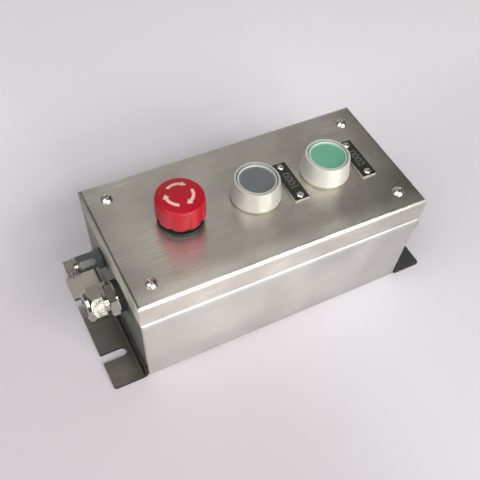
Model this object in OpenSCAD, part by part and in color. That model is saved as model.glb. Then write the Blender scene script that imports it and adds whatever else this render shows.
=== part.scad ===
// Stainless steel control station: an emergency stop and two push buttons on a screwed lid.
// Millimetres, +Z up. The origin is the centre of the enclosure's underside, +X runs along
// the enclosure towards the green button, and the cable entries are on the -X wall.

/* [Enclosure] */
// Outside length of the enclosure
box_l = 205; // [195:1:240]
// Outside width of the enclosure
box_w = 100; // [94:1:130]
// Height of the body's shoulder, just under the lid's skirt
box_h = 65; // [62:0.5:90]
// Height of the lid's skirt
lid_h = 17.8; // [13:0.1:20]
// Thickness of the stainless sheet
sheet = 1.5; // [1.2:0.1:1.8]
// Outside radius of the bends
bend_r = 2.6; // [2:0.1:3]
// Radius of the body's ground vertical edges
edge_r = 1.8; // [1:0.1:2.5]
// Gap of the seam between the lid and the shoulder
seam = 0.3; // [0.2:0.05:0.6]
// Gap between the lid's skirt and the body's neck
neck_gap = 0.8; // [0.4:0.1:1.2]
// Width of the flange turned in at the top of the neck
flange_w = 16; // [15:0.5:20]
// Slit between the lid's end skirts and its long skirts
corner_slit = 0.4; // [0.2:0.1:0.8]
// How far the drip lip of the right-hand wall stands out
lip_d = 4.6; // [2:0.1:6]
// Height of the drip lip
lip_h = 11; // [6:0.5:14]
// Height of the drip lip's outer edge
lip_edge = 5; // [2:0.5:5.5]

/* [Lid seal and screws] */
// Thickness of the lid seal
seal_t = 3; // [2:0.1:4]
// Width of the lid seal
seal_w = 4.8; // [4:0.1:5]
// Distance of the lid screws from the lid's edges
screw_inset = 14.3; // [14:0.1:15]
// Shank radius of a lid screw
screw_r = 2; // [1.5:0.1:2.2]
// Head radius of a lid screw
screw_head_r = 4; // [3.5:0.1:4.5]
// Head height of a lid screw
screw_head_h = 2.6; // [2:0.1:3]
// Shank length of a lid screw
screw_l = 13; // [11:0.5:15]
// Body radius of a rivet nut
rivet_r = 3; // [2.8:0.1:3.4]
// Flange radius of a rivet nut
rivet_flange_r = 4.4; // [4:0.1:4.6]
// Flange thickness of a rivet nut
rivet_flange_t = 0.8; // [0.5:0.1:1]
// Length of a rivet nut under its flange
rivet_l = 9.5; // [8:0.5:11]

/* [Mounting feet] */
// How far each foot stands out from the end wall
foot_d = 24.3; // [22:0.1:40]
// Thickness of a foot
foot_t = 2; // [1.5:0.1:3]
// Height of the leg that is welded to the end wall
foot_h = 14; // [10:1:20]
// Outside radius of a foot's bend
foot_bend_r = 3.5; // [3.2:0.1:5]
// Chamfer of a foot's outer corners
foot_chamfer = 1.2; // [1:0.1:6]
// Width of a bolt slot
slot_w = 7; // [5:0.5:9]
// Length of a bolt slot from the foot's outer edge
slot_l = 18; // [12:0.5:18]
// Distance between the slots of one foot
slot_pitch = 51; // [40:1:60]

/* [Operators] */
// Distance between neighbouring operators
pitch = 52.4; // [46:0.2:58]
// Distance of the push buttons behind the lid's centreline
row_y = 0.6; // [0:0.1:2]
// Distance of the emergency stop behind the lid's centreline
estop_y = 1.6; // [0:0.1:4]
// Thread radius of an operator's sleeve
sleeve_r = 11; // [10.5:0.1:11.5]
// Length of the sleeve under the lid's top face
sleeve_l = 14; // [13:0.5:18]
// Bore radius of the sleeve
sleeve_bore = 8.5; // [8:0.1:9]
// Thickness of the sleeve's bottom web
web_t = 1.5; // [1:0.1:2]
// Travel of every button
travel = 4; // [3:0.1:4.5]
// Radial thickness of the sealing washer under an operator
washer_w = 3.2; // [2:0.1:3.4]
// Thickness of the sealing washer
washer_t = 1; // [0.5:0.1:1.2]
// Outside radius of a clamp nut
nut_r = 14.2; // [13:0.1:15]
// Thickness of a clamp nut
nut_t = 5; // [4:0.5:5.5]

/* [Push buttons] */
// Radius of a bezel at the lid
bezel_r = 16.9; // [16:0.1:18]
// Radius of a bezel at its rim
rim_r = 14.9; // [14.8:0.1:15.5]
// Height of a bezel
bezel_h = 14.2; // [12:0.1:15]
// Height of the step round a bezel's foot
base_h = 1.2; // [0.8:0.1:1.6]
// How far the step lies inside the bezel
base_in = 0.4; // [0.2:0.1:0.6]
// Rounding of a bezel's rim
rim_round = 0.6; // [0.4:0.1:0.6]
// Inside radius of a bezel's rim
rim_bore = 13.4; // [12.9:0.1:13.5]
// Radial thickness of the light ring
ring_w = 1.8; // [1.4:0.1:2]
// Width of the groove between the light ring and the rim
groove_w = 0.5; // [0.3:0.1:0.6]
// Depth of the groove under the light ring's top
groove_d = 1.2; // [0.8:0.1:2]
// How far the light ring lies below the rim
ring_drop = 0.3; // [0.1:0.1:0.6]
// Thickness of a button cap
cap_t = 2.8; // [2.5:0.1:3.2]
// Crown height of a button cap
cap_crown = 0.4; // [0.2:0.1:0.6]
// How far the top of a cap lies below the rim
cap_drop = 0.9; // [0.5:0.1:1.2]

/* [Emergency stop] */
// Greatest radius of the red head
head_r = 15.7; // [15.5:0.1:18]
// Radius of the head below its rounded top edge
head_top_r = 15.4; // [14.5:0.1:15.5]
// Gap between the pushed head and the collar's foot
head_gap = 0.3; // [0.2:0.1:1]
// Height of the head's straight band above its lower edge
head_band = 6; // [4:0.5:8]
// Height of the head's top above the lid
head_top = 22.5; // [21:0.1:24]
// How far the head's domed top rises over its rounded edge
head_dome = 1.5; // [0.6:0.1:2.4]
// Rounding of the head's top edge
head_round = 2.4; // [1:0.1:2.6]
// Thickness of the head's crown over its hollow
head_crown = 7.1; // [6.2:0.1:8]
// Radius of the head's hollow
head_bore = 13.4; // [13:0.1:14]
// Number of finger flutes round the head
flutes = 9; // [6:1:12]
// Depth of a flute at the lower edge
flute_depth = 1; // [0.5:0.1:1.1]
// Radius of a flute
flute_r = 5; // [2:0.5:6]
// Turn of the flutes round the head, in degrees
flute_turn = 4; // [-15:1:15]
// Lean of a flute, in degrees from upright
flute_lean = 1; // [0.5:0.5:6]
// Radius of the black collar's foot
collar_r = 14.9; // [14.5:0.1:15.4]
// Height of the collar's foot
collar_h = 2.1; // [1:0.1:2.4]
// Radius of the collar's neck
collar_neck_r = 12.5; // [12:0.1:12.7]
// Height of the collar's neck above the lid
collar_top = 9; // [8:0.1:9.4]
// Turn of the head that releases it, in degrees
twist = 45; // [30:5:60]

/* [Label plates] */
// Length of a label plate
label_l = 33.6; // [28:0.2:36]
// Width of a label plate
label_w = 10.2; // [8:0.2:10.6]
// Thickness of a label plate
label_t = 1.6; // [1:0.1:2]
// Distance of a label plate's centre from its button
label_dx = 25.7; // [23:0.1:27]
// Distance between the two screws of a label plate
label_pitch = 26.5; // [22:0.5:28]
// Shank radius of a label screw
label_screw_r = 1.2; // [0.8:0.1:1.4]
// Head radius of a label screw
label_head_r = 2.4; // [2:0.1:2.8]
// Head height of a label screw
label_head_h = 1.5; // [1:0.1:2]

/* [Contact blocks] */
// Length of the holder that joins a contact block to its sleeve
holder_l = 28; // [26:0.5:34]
// Thickness of the holder's plate
holder_t = 5; // [3:0.5:7]
// Length of the holder's cheeks
cheek_l = 18; // [12:0.5:24]
// Depth of the holder's cheeks under the sleeve
cheek_h = 7; // [4:0.5:10]
// Thickness of the holder's cheeks
cheek_t = 2.4; // [1.6:0.1:3]
// Length of a contact block
block_l = 34; // [32:0.5:40]
// Width of a contact block
block_w = 20; // [18:0.5:24]
// Height of a contact block
block_h = 24; // [22:0.5:28]
// Wall of a contact block round its chamber
block_wall = 3; // [2:0.1:3]
// Half the chamber's length
chamber_x = 8; // [7.5:0.1:9]
// Half the chamber's width
chamber_y = 5; // [4:0.1:6]
// Radius of the push rod
rod_r = 2.5; // [2:0.1:2.8]
// Distance of a moving contact from the rod's axis
contact_x = 5.2; // [4.8:0.1:5.6]
// Height of a contact rivet
contact_h = 0.5; // [0.3:0.1:0.6]
// Radius of a contact rivet
contact_r = 1.2; // [0.8:0.1:1.4]
// Thickness of the contact strips
strip_t = 1; // [0.6:0.1:1.1]
// Width of the contact strips
strip_w = 5; // [3.5:0.1:6]
// Distance of a terminal screw from the rod's axis
terminal_x = 12.4; // [12.2:0.1:12.8]
// Head radius of a terminal screw
terminal_head_r = 3; // [2.4:0.1:3.2]

/* [Cable gland] */
// Distance of the gland in front of the wall's middle
gland_front = 14.5; // [13:0.5:20]
// Depth of both cable entries under the body's shoulder
entry_drop = 13; // [13:0.5:40]
// Radius of the gland's entry thread
gland_thread_r = 8; // [7:0.1:9]
// Width across the flats of the gland's hexagons
gland_af = 20.5; // [20:0.5:24]
// Thickness of the gland's sealing washer
gland_washer_t = 3.5; // [1:0.1:4]
// Thickness of the round collar behind the hexagon
gland_collar_t = 1; // [0.6:0.1:2]
// Length of the body's hexagon
gland_hex_l = 5; // [4:0.1:8]
// Length of the round neck between the hexagons
gland_neck_l = 2.4; // [1:0.1:5]
// Length of the compression nut
gland_nut_l = 11.7; // [10:0.1:16]
// Radius of the cable that the gland takes
cable_r = 4.5; // [3.5:0.1:5]
// Length of the gland's thread inside the wall
gland_thread_l = 10; // [8:0.5:14]
// Width across the flats of the gland's locknut
gland_lock_af = 20.5; // [19:0.5:20.5]
// Thickness of the gland's locknut
gland_lock_t = 4; // [3:0.5:5]

/* [Control plug] */
// Distance of the plug behind the wall's middle
plug_back = 18.5; // [16:0.5:22]
// Width across the flats of the plug's panel nut
plug_af = 13; // [12.6:0.1:16]
// Thickness of the panel nut
plug_nut_t = 4.2; // [3:0.1:6]
// Thickness of the plug's seal
plug_seal_t = 0.8; // [0.5:0.1:1.5]
// Radius of the socket's thread in the wall
socket_r = 5; // [4.5:0.1:5.4]
// Radius of the plug's barrel
barrel_r = 5.6; // [5:0.1:6]
// Length of the barrel
barrel_l = 12; // [9:0.2:18]
// Radius of the plug's end ring
end_ring_r = 5.9; // [5.4:0.1:6.4]
// Length of the end ring
end_ring_l = 2.4; // [2:0.1:4]
// Length of the cord clamp
clamp_l = 5.5; // [5:0.1:9]
// Height of the cord clamp
clamp_w = 8.4; // [8.2:0.1:10]
// Half the depth of the cord clamp
clamp_front = 3.8; // [3.4:0.1:5]
// Width of the split under the cord
clamp_split = 0.8; // [0.4:0.1:1.2]
// Radius of the cord that the clamp takes
cord_r = 2; // [1.5:0.1:2.2]
// Shank radius of a clamp screw
clamp_screw_r = 0.8; // [0.6:0.1:0.9]
// Head radius of a clamp screw
clamp_head_r = 1.5; // [1.2:0.1:1.7]
// Length of the socket inside the wall
socket_l = 10; // [7:0.5:14]
// Thickness of the socket's locknut
plug_lock_t = 3; // [2:0.5:4]

/* [Earth stud] */
// Distance of the earth stud from the right-hand wall
earth_side = 32.5; // [20:0.5:34]
// Distance of the earth stud from the front wall
earth_front = 22; // [15:0.5:30]
// Thread radius of the earth stud
earth_r = 3; // [2.5:0.5:4]
// Length of the earth stud
earth_l = 16; // [15:0.5:22]
// Width across the flats of an earth nut
earth_af = 10; // [9:0.5:13]
// Thickness of an earth nut
earth_nut_t = 5; // [4:0.5:6]
// Thickness of the collar under an earth nut
earth_collar_t = 1.2; // [0.8:0.1:1.6]

/* [Fits] */
// Clearance of a thread, a pin or a shaft in its hole
fit = 0.05; // [0.03:0.01:0.08]
// Running clearance of loose pieces
loose = 0.3; // [0.2:0.05:0.4]

/* [Hidden] */
$fn = 64;

// Levels of the enclosure
lid_z = box_h + seam;
lid_top = lid_z + lid_h;
neck_top = lid_top - sheet - seal_t;
entry_z = box_h - entry_drop;
neck_l = box_l - 2 * (sheet + neck_gap);
neck_w = box_w - 2 * (sheet + neck_gap);
lid_edge_r = 0.6;
screw_x = box_l / 2 - screw_inset;
screw_y = box_w / 2 - screw_inset;
rivet_z = neck_top + rivet_flange_t;

// Places of the operators along the lid
grey_x = 0;
green_x = pitch;
estop_at = [-pitch, estop_y];
grey_at = [grey_x, row_y];
green_at = [green_x, row_y];

// Levels inside an operator, counted from the lid's top face
block_z = -sleeve_l;
chamber_top = block_z - block_wall;
chamber_bottom = block_z - block_h + block_wall;
bridge_t = 0.8;
bridge_top = chamber_top - loose - strip_t - 2 * contact_h - loose;
open_strip_z = bridge_top - bridge_t - 2 * contact_h - travel - loose - strip_t;
closed_strip_z = bridge_top + 2 * contact_h + loose;
rod_end_z = bridge_top - bridge_t - 0.9;
cap_r = rim_bore - fit - ring_w - 2 * fit;
cap_top = bezel_h - cap_drop;
cap_z = cap_top - cap_crown - cap_t;
recess_z = cap_z - travel - loose;
head_z = collar_h + travel + head_gap;
shoulder_z = 4.6;
shoulder_t = 2;
spigot_r = 4;
hub_r = 6;
head_ceiling = head_top - head_crown;
head_edge_r = head_top_r - head_round;
head_edge_z = head_top - head_dome - head_round;
// The dome's sphere touches the rounded edge without a crease
dome_r = (pow(head_edge_r, 2) + pow(head_dome + head_round, 2) - pow(head_round, 2)) / (2 * head_dome);
dome_end_r = head_edge_r * dome_r / (dome_r - head_round);

// Steel

module rounded_rect(l, w, r) {
  square([l - 2 * r, w], center = true);
  square([l, w - 2 * r], center = true);
  for (sx = [-1, 1], sy = [-1, 1])
    translate([sx * (l / 2 - r), sy * (w / 2 - r)]) circle(r);
}

// A rectangle from z0 to z1 whose upper and lower corners have bend radii, none where 0
module bent_section(w, z0, z1, r_top, r_low) {
  translate([-w / 2, z0 + r_low]) square([w, z1 - z0 - r_top - r_low]);
  for (end = [[z1 - r_top, r_top], [z0 + r_low, r_low]]) if (end[1] > 0) {
    translate([-w / 2 + end[1], end[0] - end[1]]) square([w - 2 * end[1], 2 * end[1]]);
    for (side = [-1, 1]) translate([side * (w / 2 - end[1]), end[0]]) circle(end[1]);
  }
}

// A folded box form: bends along its length, along its width and at its upright edges
module folded(l, w, z0, z1, r_top, r_low, r_edge) {
  intersection() {
    translate([0, 0, z0]) linear_extrude(z1 - z0) rounded_rect(l, w, r_edge);
    rotate([90, 0, 90]) translate([0, 0, -l / 2]) linear_extrude(l)
      bent_section(w, z0, z1, r_top, r_low);
    rotate([90, 0, 0]) translate([0, 0, -w / 2]) linear_extrude(w)
      bent_section(l, z0, z1, r_top, r_low);
  }
}

module at_lid_screws() {
  for (sx = [-1, 1], sy = [-1, 1]) translate([sx * screw_x, sy * screw_y, 0]) children();
}

module at_operator(at) {
  translate([at[0], at[1], lid_top]) children();
}

module at_label_screws(x) {
  for (side = [-1, 1]) translate([x + label_dx, row_y + side * label_pitch / 2, 0]) children();
}

// Turns children so that their +Z points out of the left-hand wall
module at_gland() {
  translate([-box_l / 2, -gland_front, entry_z]) rotate([0, -90, 0]) children();
}

module at_plug() {
  translate([-box_l / 2, plug_back, entry_z]) rotate([0, -90, 0]) children();
}

module tube(r_out, r_in, z0, z1) {
  translate([0, 0, z0]) difference() {
    cylinder(r = r_out, h = z1 - z0);
    translate([0, 0, -1]) cylinder(r = r_in, h = z1 - z0 + 2);
  }
}

module enclosure_body() {
  color("#c8c4be") difference() {
    union() {
      folded(box_l, box_w, 0, box_h, bend_r, bend_r, edge_r);
      translate([0, 0, box_h - sheet]) linear_extrude(neck_top - box_h + sheet)
        rounded_rect(neck_l, neck_w, edge_r);
    }
    folded(box_l - 2 * sheet, box_w - 2 * sheet, sheet, box_h - sheet,
           bend_r - sheet, bend_r - sheet, edge_r);
    translate([0, 0, box_h - 2 * sheet]) linear_extrude(neck_top - box_h + sheet)
      square([neck_l - 2 * sheet, neck_w - 2 * sheet], center = true);
    translate([0, 0, neck_top - sheet - 1]) linear_extrude(sheet + 2)
      rounded_rect(neck_l - 2 * (sheet + flange_w), neck_w - 2 * (sheet + flange_w), 3);
    at_lid_screws() translate([0, 0, neck_top - sheet - 1]) cylinder(r = rivet_r + fit, h = sheet + 2);
    at_gland() translate([0, 0, -sheet - 1]) cylinder(r = gland_thread_r + fit, h = sheet + 2);
    at_plug() translate([0, 0, -sheet - 1]) cylinder(r = socket_r + fit, h = sheet + 2);
  }
}

// The hem that stands out along the top of the right-hand wall and sheds water
module drip_lip() {
  hem_r = 0.9;
  color("#b9b4ae") translate([box_l / 2, box_w / 2 - edge_r, box_h - bend_r - lip_h])
    rotate([90, 0, 0]) linear_extrude(box_w - 2 * edge_r) {
      polygon([[0, 0], [lip_d - hem_r, 0], [lip_d, hem_r], [lip_d, lip_edge - hem_r],
               [lip_d - 0.5, lip_edge], [sheet, lip_h], [0, lip_h]]);
      translate([lip_d - hem_r, hem_r]) circle(hem_r);
    }
}

module lid() {
  color("#8f897e") difference() {
    folded(box_l, box_w, lid_z, lid_top, bend_r, 0, lid_edge_r);
    folded(box_l - 2 * sheet, box_w - 2 * sheet, lid_z - 1, lid_top - sheet, bend_r - sheet, 0, 0.2);
    for (sx = [-1, 1], sy = [-1, 1]) mirror([sx < 0 ? 1 : 0, 0, 0]) mirror([0, sy < 0 ? 1 : 0, 0])
      translate([box_l / 2 - sheet - 1, box_w / 2 - sheet - corner_slit, lid_z - 1])
        cube([sheet + 2, corner_slit, lid_h - bend_r + 1]);
    translate([0, 0, lid_top - sheet - 1]) {
      for (at = [estop_at, grey_at, green_at]) translate(at) cylinder(r = sleeve_r + 3 * fit, h = sheet + 2);
      at_lid_screws() cylinder(r = screw_r + loose, h = sheet + 2);
      for (x = [grey_x, green_x]) at_label_screws(x) cylinder(r = label_screw_r + fit, h = sheet + 2);
    }
  }
}

module lid_seal() {
  seal_l = neck_l - 2 * sheet;
  seal_y = neck_w - 2 * sheet;
  color("#2b2b2b") translate([0, 0, neck_top]) linear_extrude(seal_t) difference() {
    rounded_rect(seal_l, seal_y, edge_r);
    square([seal_l - 2 * seal_w, seal_y - 2 * seal_w], center = true);
  }
}

module rivet_nuts() {
  color("#b9b4aa") at_lid_screws() {
    tube(rivet_flange_r, screw_r + fit, neck_top, rivet_z);
    tube(rivet_r, screw_r + fit, neck_top - rivet_l, neck_top);
  }
}

// A pan head on a shank, with a cross recess
module pan_screw(r, l, head_r, head_h) {
  dome_r = (head_r * head_r + head_h * head_h) / (2 * head_h) * 1.12;
  difference() {
    intersection() {
      cylinder(r = head_r, h = head_h);
      translate([0, 0, head_h - dome_r]) sphere(dome_r);
    }
    for (turn = [0, 90]) rotate(turn) translate([-head_r * 0.55, -head_r * 0.11, head_h * 0.5])
      cube([head_r * 1.1, head_r * 0.22, head_h]);
  }
  translate([0, 0, -l]) cylinder(r = r, h = l);
}

module lid_screws() {
  color("#d6d3cc") at_lid_screws() translate([0, 0, lid_top])
    rotate(25) pan_screw(screw_r, screw_l, screw_head_r, screw_head_h);
}

module foot_profile() {
  translate([0, foot_bend_r]) square([foot_t, foot_h - foot_bend_r]);
  translate([foot_bend_r, 0]) square([foot_d - foot_bend_r, foot_t]);
  intersection() {
    difference() {
      translate([foot_bend_r, foot_bend_r]) circle(foot_bend_r);
      translate([foot_bend_r, foot_bend_r]) circle(foot_bend_r - foot_t);
    }
    square(foot_bend_r);
  }
}

// One foot, standing out along +X from the plane X = 0
module foot() {
  half = box_w / 2;
  difference() {
    translate([0, half, 0]) rotate([90, 0, 0]) linear_extrude(box_w) foot_profile();
    for (side = [-1, 1]) {
      translate([0, side * slot_pitch / 2, -1]) linear_extrude(foot_t + 2) {
        translate([foot_d - slot_l + slot_w / 2, 0]) circle(slot_w / 2);
        translate([foot_d - slot_l + slot_w / 2, -slot_w / 2]) square([slot_l, slot_w]);
      }
      translate([foot_d, side * half, -1]) linear_extrude(foot_t + 2)
        polygon([[-foot_chamfer, 0], [0, -side * foot_chamfer], [1, -side * foot_chamfer],
                 [1, side], [-foot_chamfer, side]]);
    }
  }
}

module right_foot() {
  color("#8c877c") translate([box_l / 2, 0, 0]) foot();
}

module left_foot() {
  color("#8c877c") mirror([1, 0, 0]) translate([box_l / 2, 0, 0]) foot();
}

// Labels

module label(x) {
  color("#20201d") difference() {
    translate([x + label_dx - label_w / 2, row_y - label_l / 2, lid_top]) cube([label_w, label_l, label_t]);
    at_label_screws(x) translate([0, 0, lid_top - 1]) cylinder(r = label_screw_r + fit, h = label_t + 2);
  }
}

module grey_label() {
  label(grey_x);
}

module green_label() {
  label(green_x);
}

module label_screws() {
  color("#d6d3cc") for (x = [grey_x, green_x]) at_label_screws(x) translate([0, 0, lid_top + label_t])
    rotate(40) pan_screw(label_screw_r, label_t + sheet + 1.5, label_head_r, label_head_h);
}

// Earthing

earth_base_t = 1;
earth_pile = earth_collar_t + earth_nut_t;

module at_earth() {
  translate([box_l / 2 - earth_side, earth_front - box_w / 2, sheet]) children();
}

module earth_stud() {
  color("#c8c4be") at_earth() {
    cylinder(r = earth_r + earth_base_t, h = earth_base_t);
    cylinder(r = earth_r, h = earth_l);
  }
}

module earth_nuts() {
  color("#c9a64a") at_earth() for (i = [0, 1]) translate([0, 0, earth_base_t + i * earth_pile])
    difference() {
      union() {
        cylinder(d = earth_af / cos(30), h = earth_collar_t);
        translate([0, 0, earth_collar_t]) cylinder(d = earth_af / cos(30), h = earth_nut_t, $fn = 6);
      }
      translate([0, 0, -1]) cylinder(r = earth_r + fit, h = earth_pile + 2);
    }
}

// Push buttons

module bezel() {
  color("#d8d5cc") rotate_extrude() difference() {
    union() {
      polygon([
        [sleeve_bore, -sleeve_l], [sleeve_r, -sleeve_l], [sleeve_r, 0],
        [bezel_r - base_in, 0], [bezel_r - base_in, base_h], [bezel_r, base_h],
        [bezel_r, base_h + 0.8], [rim_r, bezel_h - rim_round],
        [rim_r - rim_round, bezel_h], [rim_bore, bezel_h], [rim_bore, recess_z],
        [sleeve_bore, recess_z]
      ]);
      translate([rim_r - rim_round, bezel_h - rim_round]) circle(rim_round);
      translate([rod_r + 2 * fit, -sleeve_l]) square([sleeve_bore - rod_r, web_t]);
    }
    translate([sleeve_r, -1]) square([washer_w + fit, washer_t + 1]);
  }
}

// The milky ring round a cap: a tube that ends in a round bead beside a narrow groove
module light_ring() {
  outside = rim_bore - fit;
  bead_r = (ring_w - groove_w) / 2;
  bead_z = bezel_h - ring_drop - bead_r;
  color("#dfe6dc") rotate_extrude() {
    polygon([
      [outside - ring_w, recess_z], [outside, recess_z], [outside, bezel_h - ring_drop - groove_d],
      [outside - groove_w, bezel_h - ring_drop - groove_d], [outside - groove_w, bead_z],
      [outside - ring_w, bead_z]
    ]);
    translate([outside - ring_w + bead_r, bead_z]) circle(bead_r);
  }
}

module cap(shade) {
  crown_r = (cap_r * cap_r + cap_crown * cap_crown) / (2 * cap_crown);
  crown = [for (i = [8 : -1 : 0]) let (x = cap_r * i / 8)
    [x, cap_top - crown_r + sqrt(crown_r * crown_r - x * x)]];
  color(shade) rotate_extrude() polygon(concat([
    [0, cap_z + 1.6], [spigot_r + fit, cap_z + 1.6], [spigot_r + fit, cap_z], [cap_r, cap_z]
  ], crown));
}

// The push rod from the given height down through the contact block
module push_rod(from_z) {
  translate([0, 0, bridge_top]) cylinder(r = rod_r, h = from_z - bridge_top);
  translate([0, 0, rod_end_z]) cylinder(r = rod_r - 1, h = bridge_top - rod_end_z);
  translate([0, 0, rod_end_z]) cylinder(r = rod_r, h = 0.9);
}

module button_stem() {
  color("#e8e4d8") {
    translate([0, 0, cap_z]) cylinder(r = spigot_r, h = 1.5);
    translate([0, 0, cap_z - 10]) cylinder(r = spigot_r + 0.6, h = 10);
    push_rod(cap_z - 9);
  }
}

// A helical spring from z0 to z1, swept as a closed tube
module coil(r, wire, z0, z1, turns) {
  steps = 14 * turns;
  sides = 6;
  rings = [for (i = [0 : steps], j = [0 : sides - 1])
    let (a = 360 * turns * i / steps, b = 360 * j / sides, out = r + wire / 2 * cos(b))
      [out * cos(a), out * sin(a),
       z0 + wire / 2 + (z1 - z0 - wire) * i / steps + wire / 2 * sin(b)]];
  walls = [for (i = [0 : steps - 1], j = [0 : sides - 1])
    let (p = i * sides + j, q = i * sides + (j + 1) % sides)
      each [[p, q, q + sides], [p, q + sides, p + sides]]];
  first = [for (j = [sides - 1 : -1 : 0]) j];
  last = [for (j = [0 : sides - 1]) steps * sides + j];
  polyhedron(rings, concat([first], walls, [last]));
}

spring_r = (spigot_r + 0.6 + sleeve_bore) / 2;
spring_z = web_t - sleeve_l;

module button_spring() {
  color("#b9b9bb") coil(spring_r, 0.9, spring_z, cap_z, 6);
}

module washer() {
  color("#262626") tube(sleeve_r + washer_w, sleeve_r + fit, 0, washer_t);
}

module clamp_nut() {
  color("#9a9a98") difference() {
    tube(nut_r, sleeve_r + fit, -sheet - nut_t, -sheet);
    for (turn = [0 : 45 : 315]) rotate(turn) translate([nut_r - 1, -1.5, -sheet - nut_t - 1])
      cube([2, 3, nut_t - 0.5]);
  }
}

// The collar that grips the sleeve's end and holds the contact block between two cheeks
module holder() {
  half = block_w / 2 + fit;
  color("#3b3b3d") difference() {
    union() {
      translate([-holder_l / 2, -half - cheek_t, block_z])
        cube([holder_l, 2 * (half + cheek_t), holder_t]);
      for (side = [-1, 1])
        translate([-cheek_l / 2, side * (half + cheek_t / 2) - cheek_t / 2, block_z - cheek_h])
          cube([cheek_l, cheek_t, cheek_h]);
    }
    translate([0, 0, block_z - 1]) cylinder(r = sleeve_r + fit, h = holder_t + 2);
  }
}

// The housing of a contact block, cut for strips at strip_z
module contact_block(strip_z) {
  color("#ece8dc") difference() {
    translate([-block_l / 2, -block_w / 2, block_z - block_h]) cube([block_l, block_w, block_h]);
    translate([-chamber_x, -chamber_y, chamber_bottom])
      cube([2 * chamber_x, 2 * chamber_y, chamber_top - chamber_bottom]);
    translate([0, 0, chamber_top - 1]) cylinder(r = rod_r + 3 * fit, h = block_wall + 2);
    translate([-block_l / 2 - 1, -strip_w / 2 - fit, strip_z - fit])
      cube([block_l + 2, strip_w + 2 * fit, strip_t + 2 * fit]);
    for (side = [-1, 1]) translate([side * terminal_x, 0, 0]) {
      translate([0, 0, block_z - block_h - 1])
        cylinder(r = terminal_head_r + loose, h = strip_z - block_z + block_h + 1);
      translate([0, 0, strip_z]) cylinder(r = terminal_r + 3 * fit, h = terminal_l + loose);
    }
  }
}

terminal_r = 1.6;
terminal_l = 2.4;

// Two strips with contact rivets that point up or down
module strip_pair(strip_z, facing) {
  for (side = [-1, 1]) mirror([side < 0 ? 1 : 0, 0, 0]) {
    difference() {
      translate([rod_r + 1, -strip_w / 2, strip_z])
        cube([block_l / 2 - rod_r - 1, strip_w, strip_t]);
      translate([terminal_x, 0, strip_z - 1]) cylinder(r = terminal_r + fit, h = strip_t + 2);
    }
    translate([contact_x, 0, facing > 0 ? strip_z + strip_t : strip_z - contact_h])
      cylinder(r = contact_r, h = contact_h);
  }
}

module screw_pair(strip_z) {
  for (side = [-1, 1]) translate([side * terminal_x, 0, strip_z]) rotate([180, 0, 0])
    pan_screw(terminal_r, terminal_l, terminal_head_r, 2);
}

// The bridge that the rod carries, with rivets that point up or down
module moving_contact(facing) {
  color("#c98a4b") {
    difference() {
      translate([-contact_x - 1.6, -2, bridge_top - bridge_t]) cube([2 * contact_x + 3.2, 4, bridge_t]);
      translate([0, 0, bridge_top - bridge_t - 1]) cylinder(r = rod_r - 1 + fit, h = bridge_t + 2);
    }
    for (side = [-1, 1])
      translate([side * contact_x, 0, facing > 0 ? bridge_top : bridge_top - bridge_t - contact_h])
        cylinder(r = contact_r, h = contact_h);
  }
}

module fixed_contacts() {
  color("#c98a4b") {
    for (at = [grey_at, green_at]) at_operator(at) strip_pair(open_strip_z, 1);
    at_operator(estop_at) strip_pair(closed_strip_z, -1);
  }
}

module terminal_screws() {
  color("#c0bdb6") {
    for (at = [grey_at, green_at]) at_operator(at) screw_pair(open_strip_z);
    at_operator(estop_at) screw_pair(closed_strip_z);
  }
}

module grey_bezel() { at_operator(grey_at) bezel(); }
module grey_light_ring() { at_operator(grey_at) light_ring(); }
module grey_cap() { at_operator(grey_at) cap("#5e6666"); }
module grey_stem() { at_operator(grey_at) button_stem(); }
module grey_spring() { at_operator(grey_at) button_spring(); }
module grey_washer() { at_operator(grey_at) washer(); }
module grey_clamp_nut() { at_operator(grey_at) clamp_nut(); }
module grey_holder() { at_operator(grey_at) holder(); }
module grey_contact_block() { at_operator(grey_at) contact_block(open_strip_z); }
module grey_moving_contact() { at_operator(grey_at) moving_contact(-1); }

module green_bezel() { at_operator(green_at) bezel(); }
module green_light_ring() { at_operator(green_at) light_ring(); }
module green_cap() { at_operator(green_at) cap("#4f9f7c"); }
module green_stem() { at_operator(green_at) button_stem(); }
module green_spring() { at_operator(green_at) button_spring(); }
module green_washer() { at_operator(green_at) washer(); }
module green_clamp_nut() { at_operator(green_at) clamp_nut(); }
module green_holder() { at_operator(green_at) holder(); }
module green_contact_block() { at_operator(green_at) contact_block(open_strip_z); }
module green_moving_contact() { at_operator(green_at) moving_contact(-1); }

// Emergency stop

// The red mushroom head: a turned cup with leaning finger flutes and a hub for the stem
module estop_head() {
  flute_out = head_r - flute_depth + flute_r;
  color("#c8303a") at_operator(estop_at) {
    difference() {
      intersection() {
        rotate_extrude() {
          polygon([
            [0, head_ceiling], [head_bore, head_ceiling], [head_bore, head_z],
            [head_r - 0.3, head_z], [head_r, head_z + 0.3], [head_r, head_z + head_band],
            [head_top_r, head_edge_z], [dome_end_r, head_edge_z], [dome_end_r, head_top], [0, head_top]
          ]);
          translate([head_edge_r, head_edge_z]) circle(head_round);
        }
        translate([0, 0, head_top - dome_r]) sphere(dome_r);
      }
      for (i = [0 : flutes - 1]) rotate(flute_turn + 360 * (i + 0.5) / flutes)
        translate([flute_out, 0, head_z]) rotate([0, flute_lean, 0])
          translate([0, 0, -2]) cylinder(r = flute_r, h = head_top - head_z + 2);
      translate([0, 0, head_ceiling - 1]) cylinder(r = spigot_r + fit, h = 2);
    }
    tube(hub_r, spigot_r + fit, shoulder_z + shoulder_t + loose, head_ceiling);
  }
}

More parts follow.
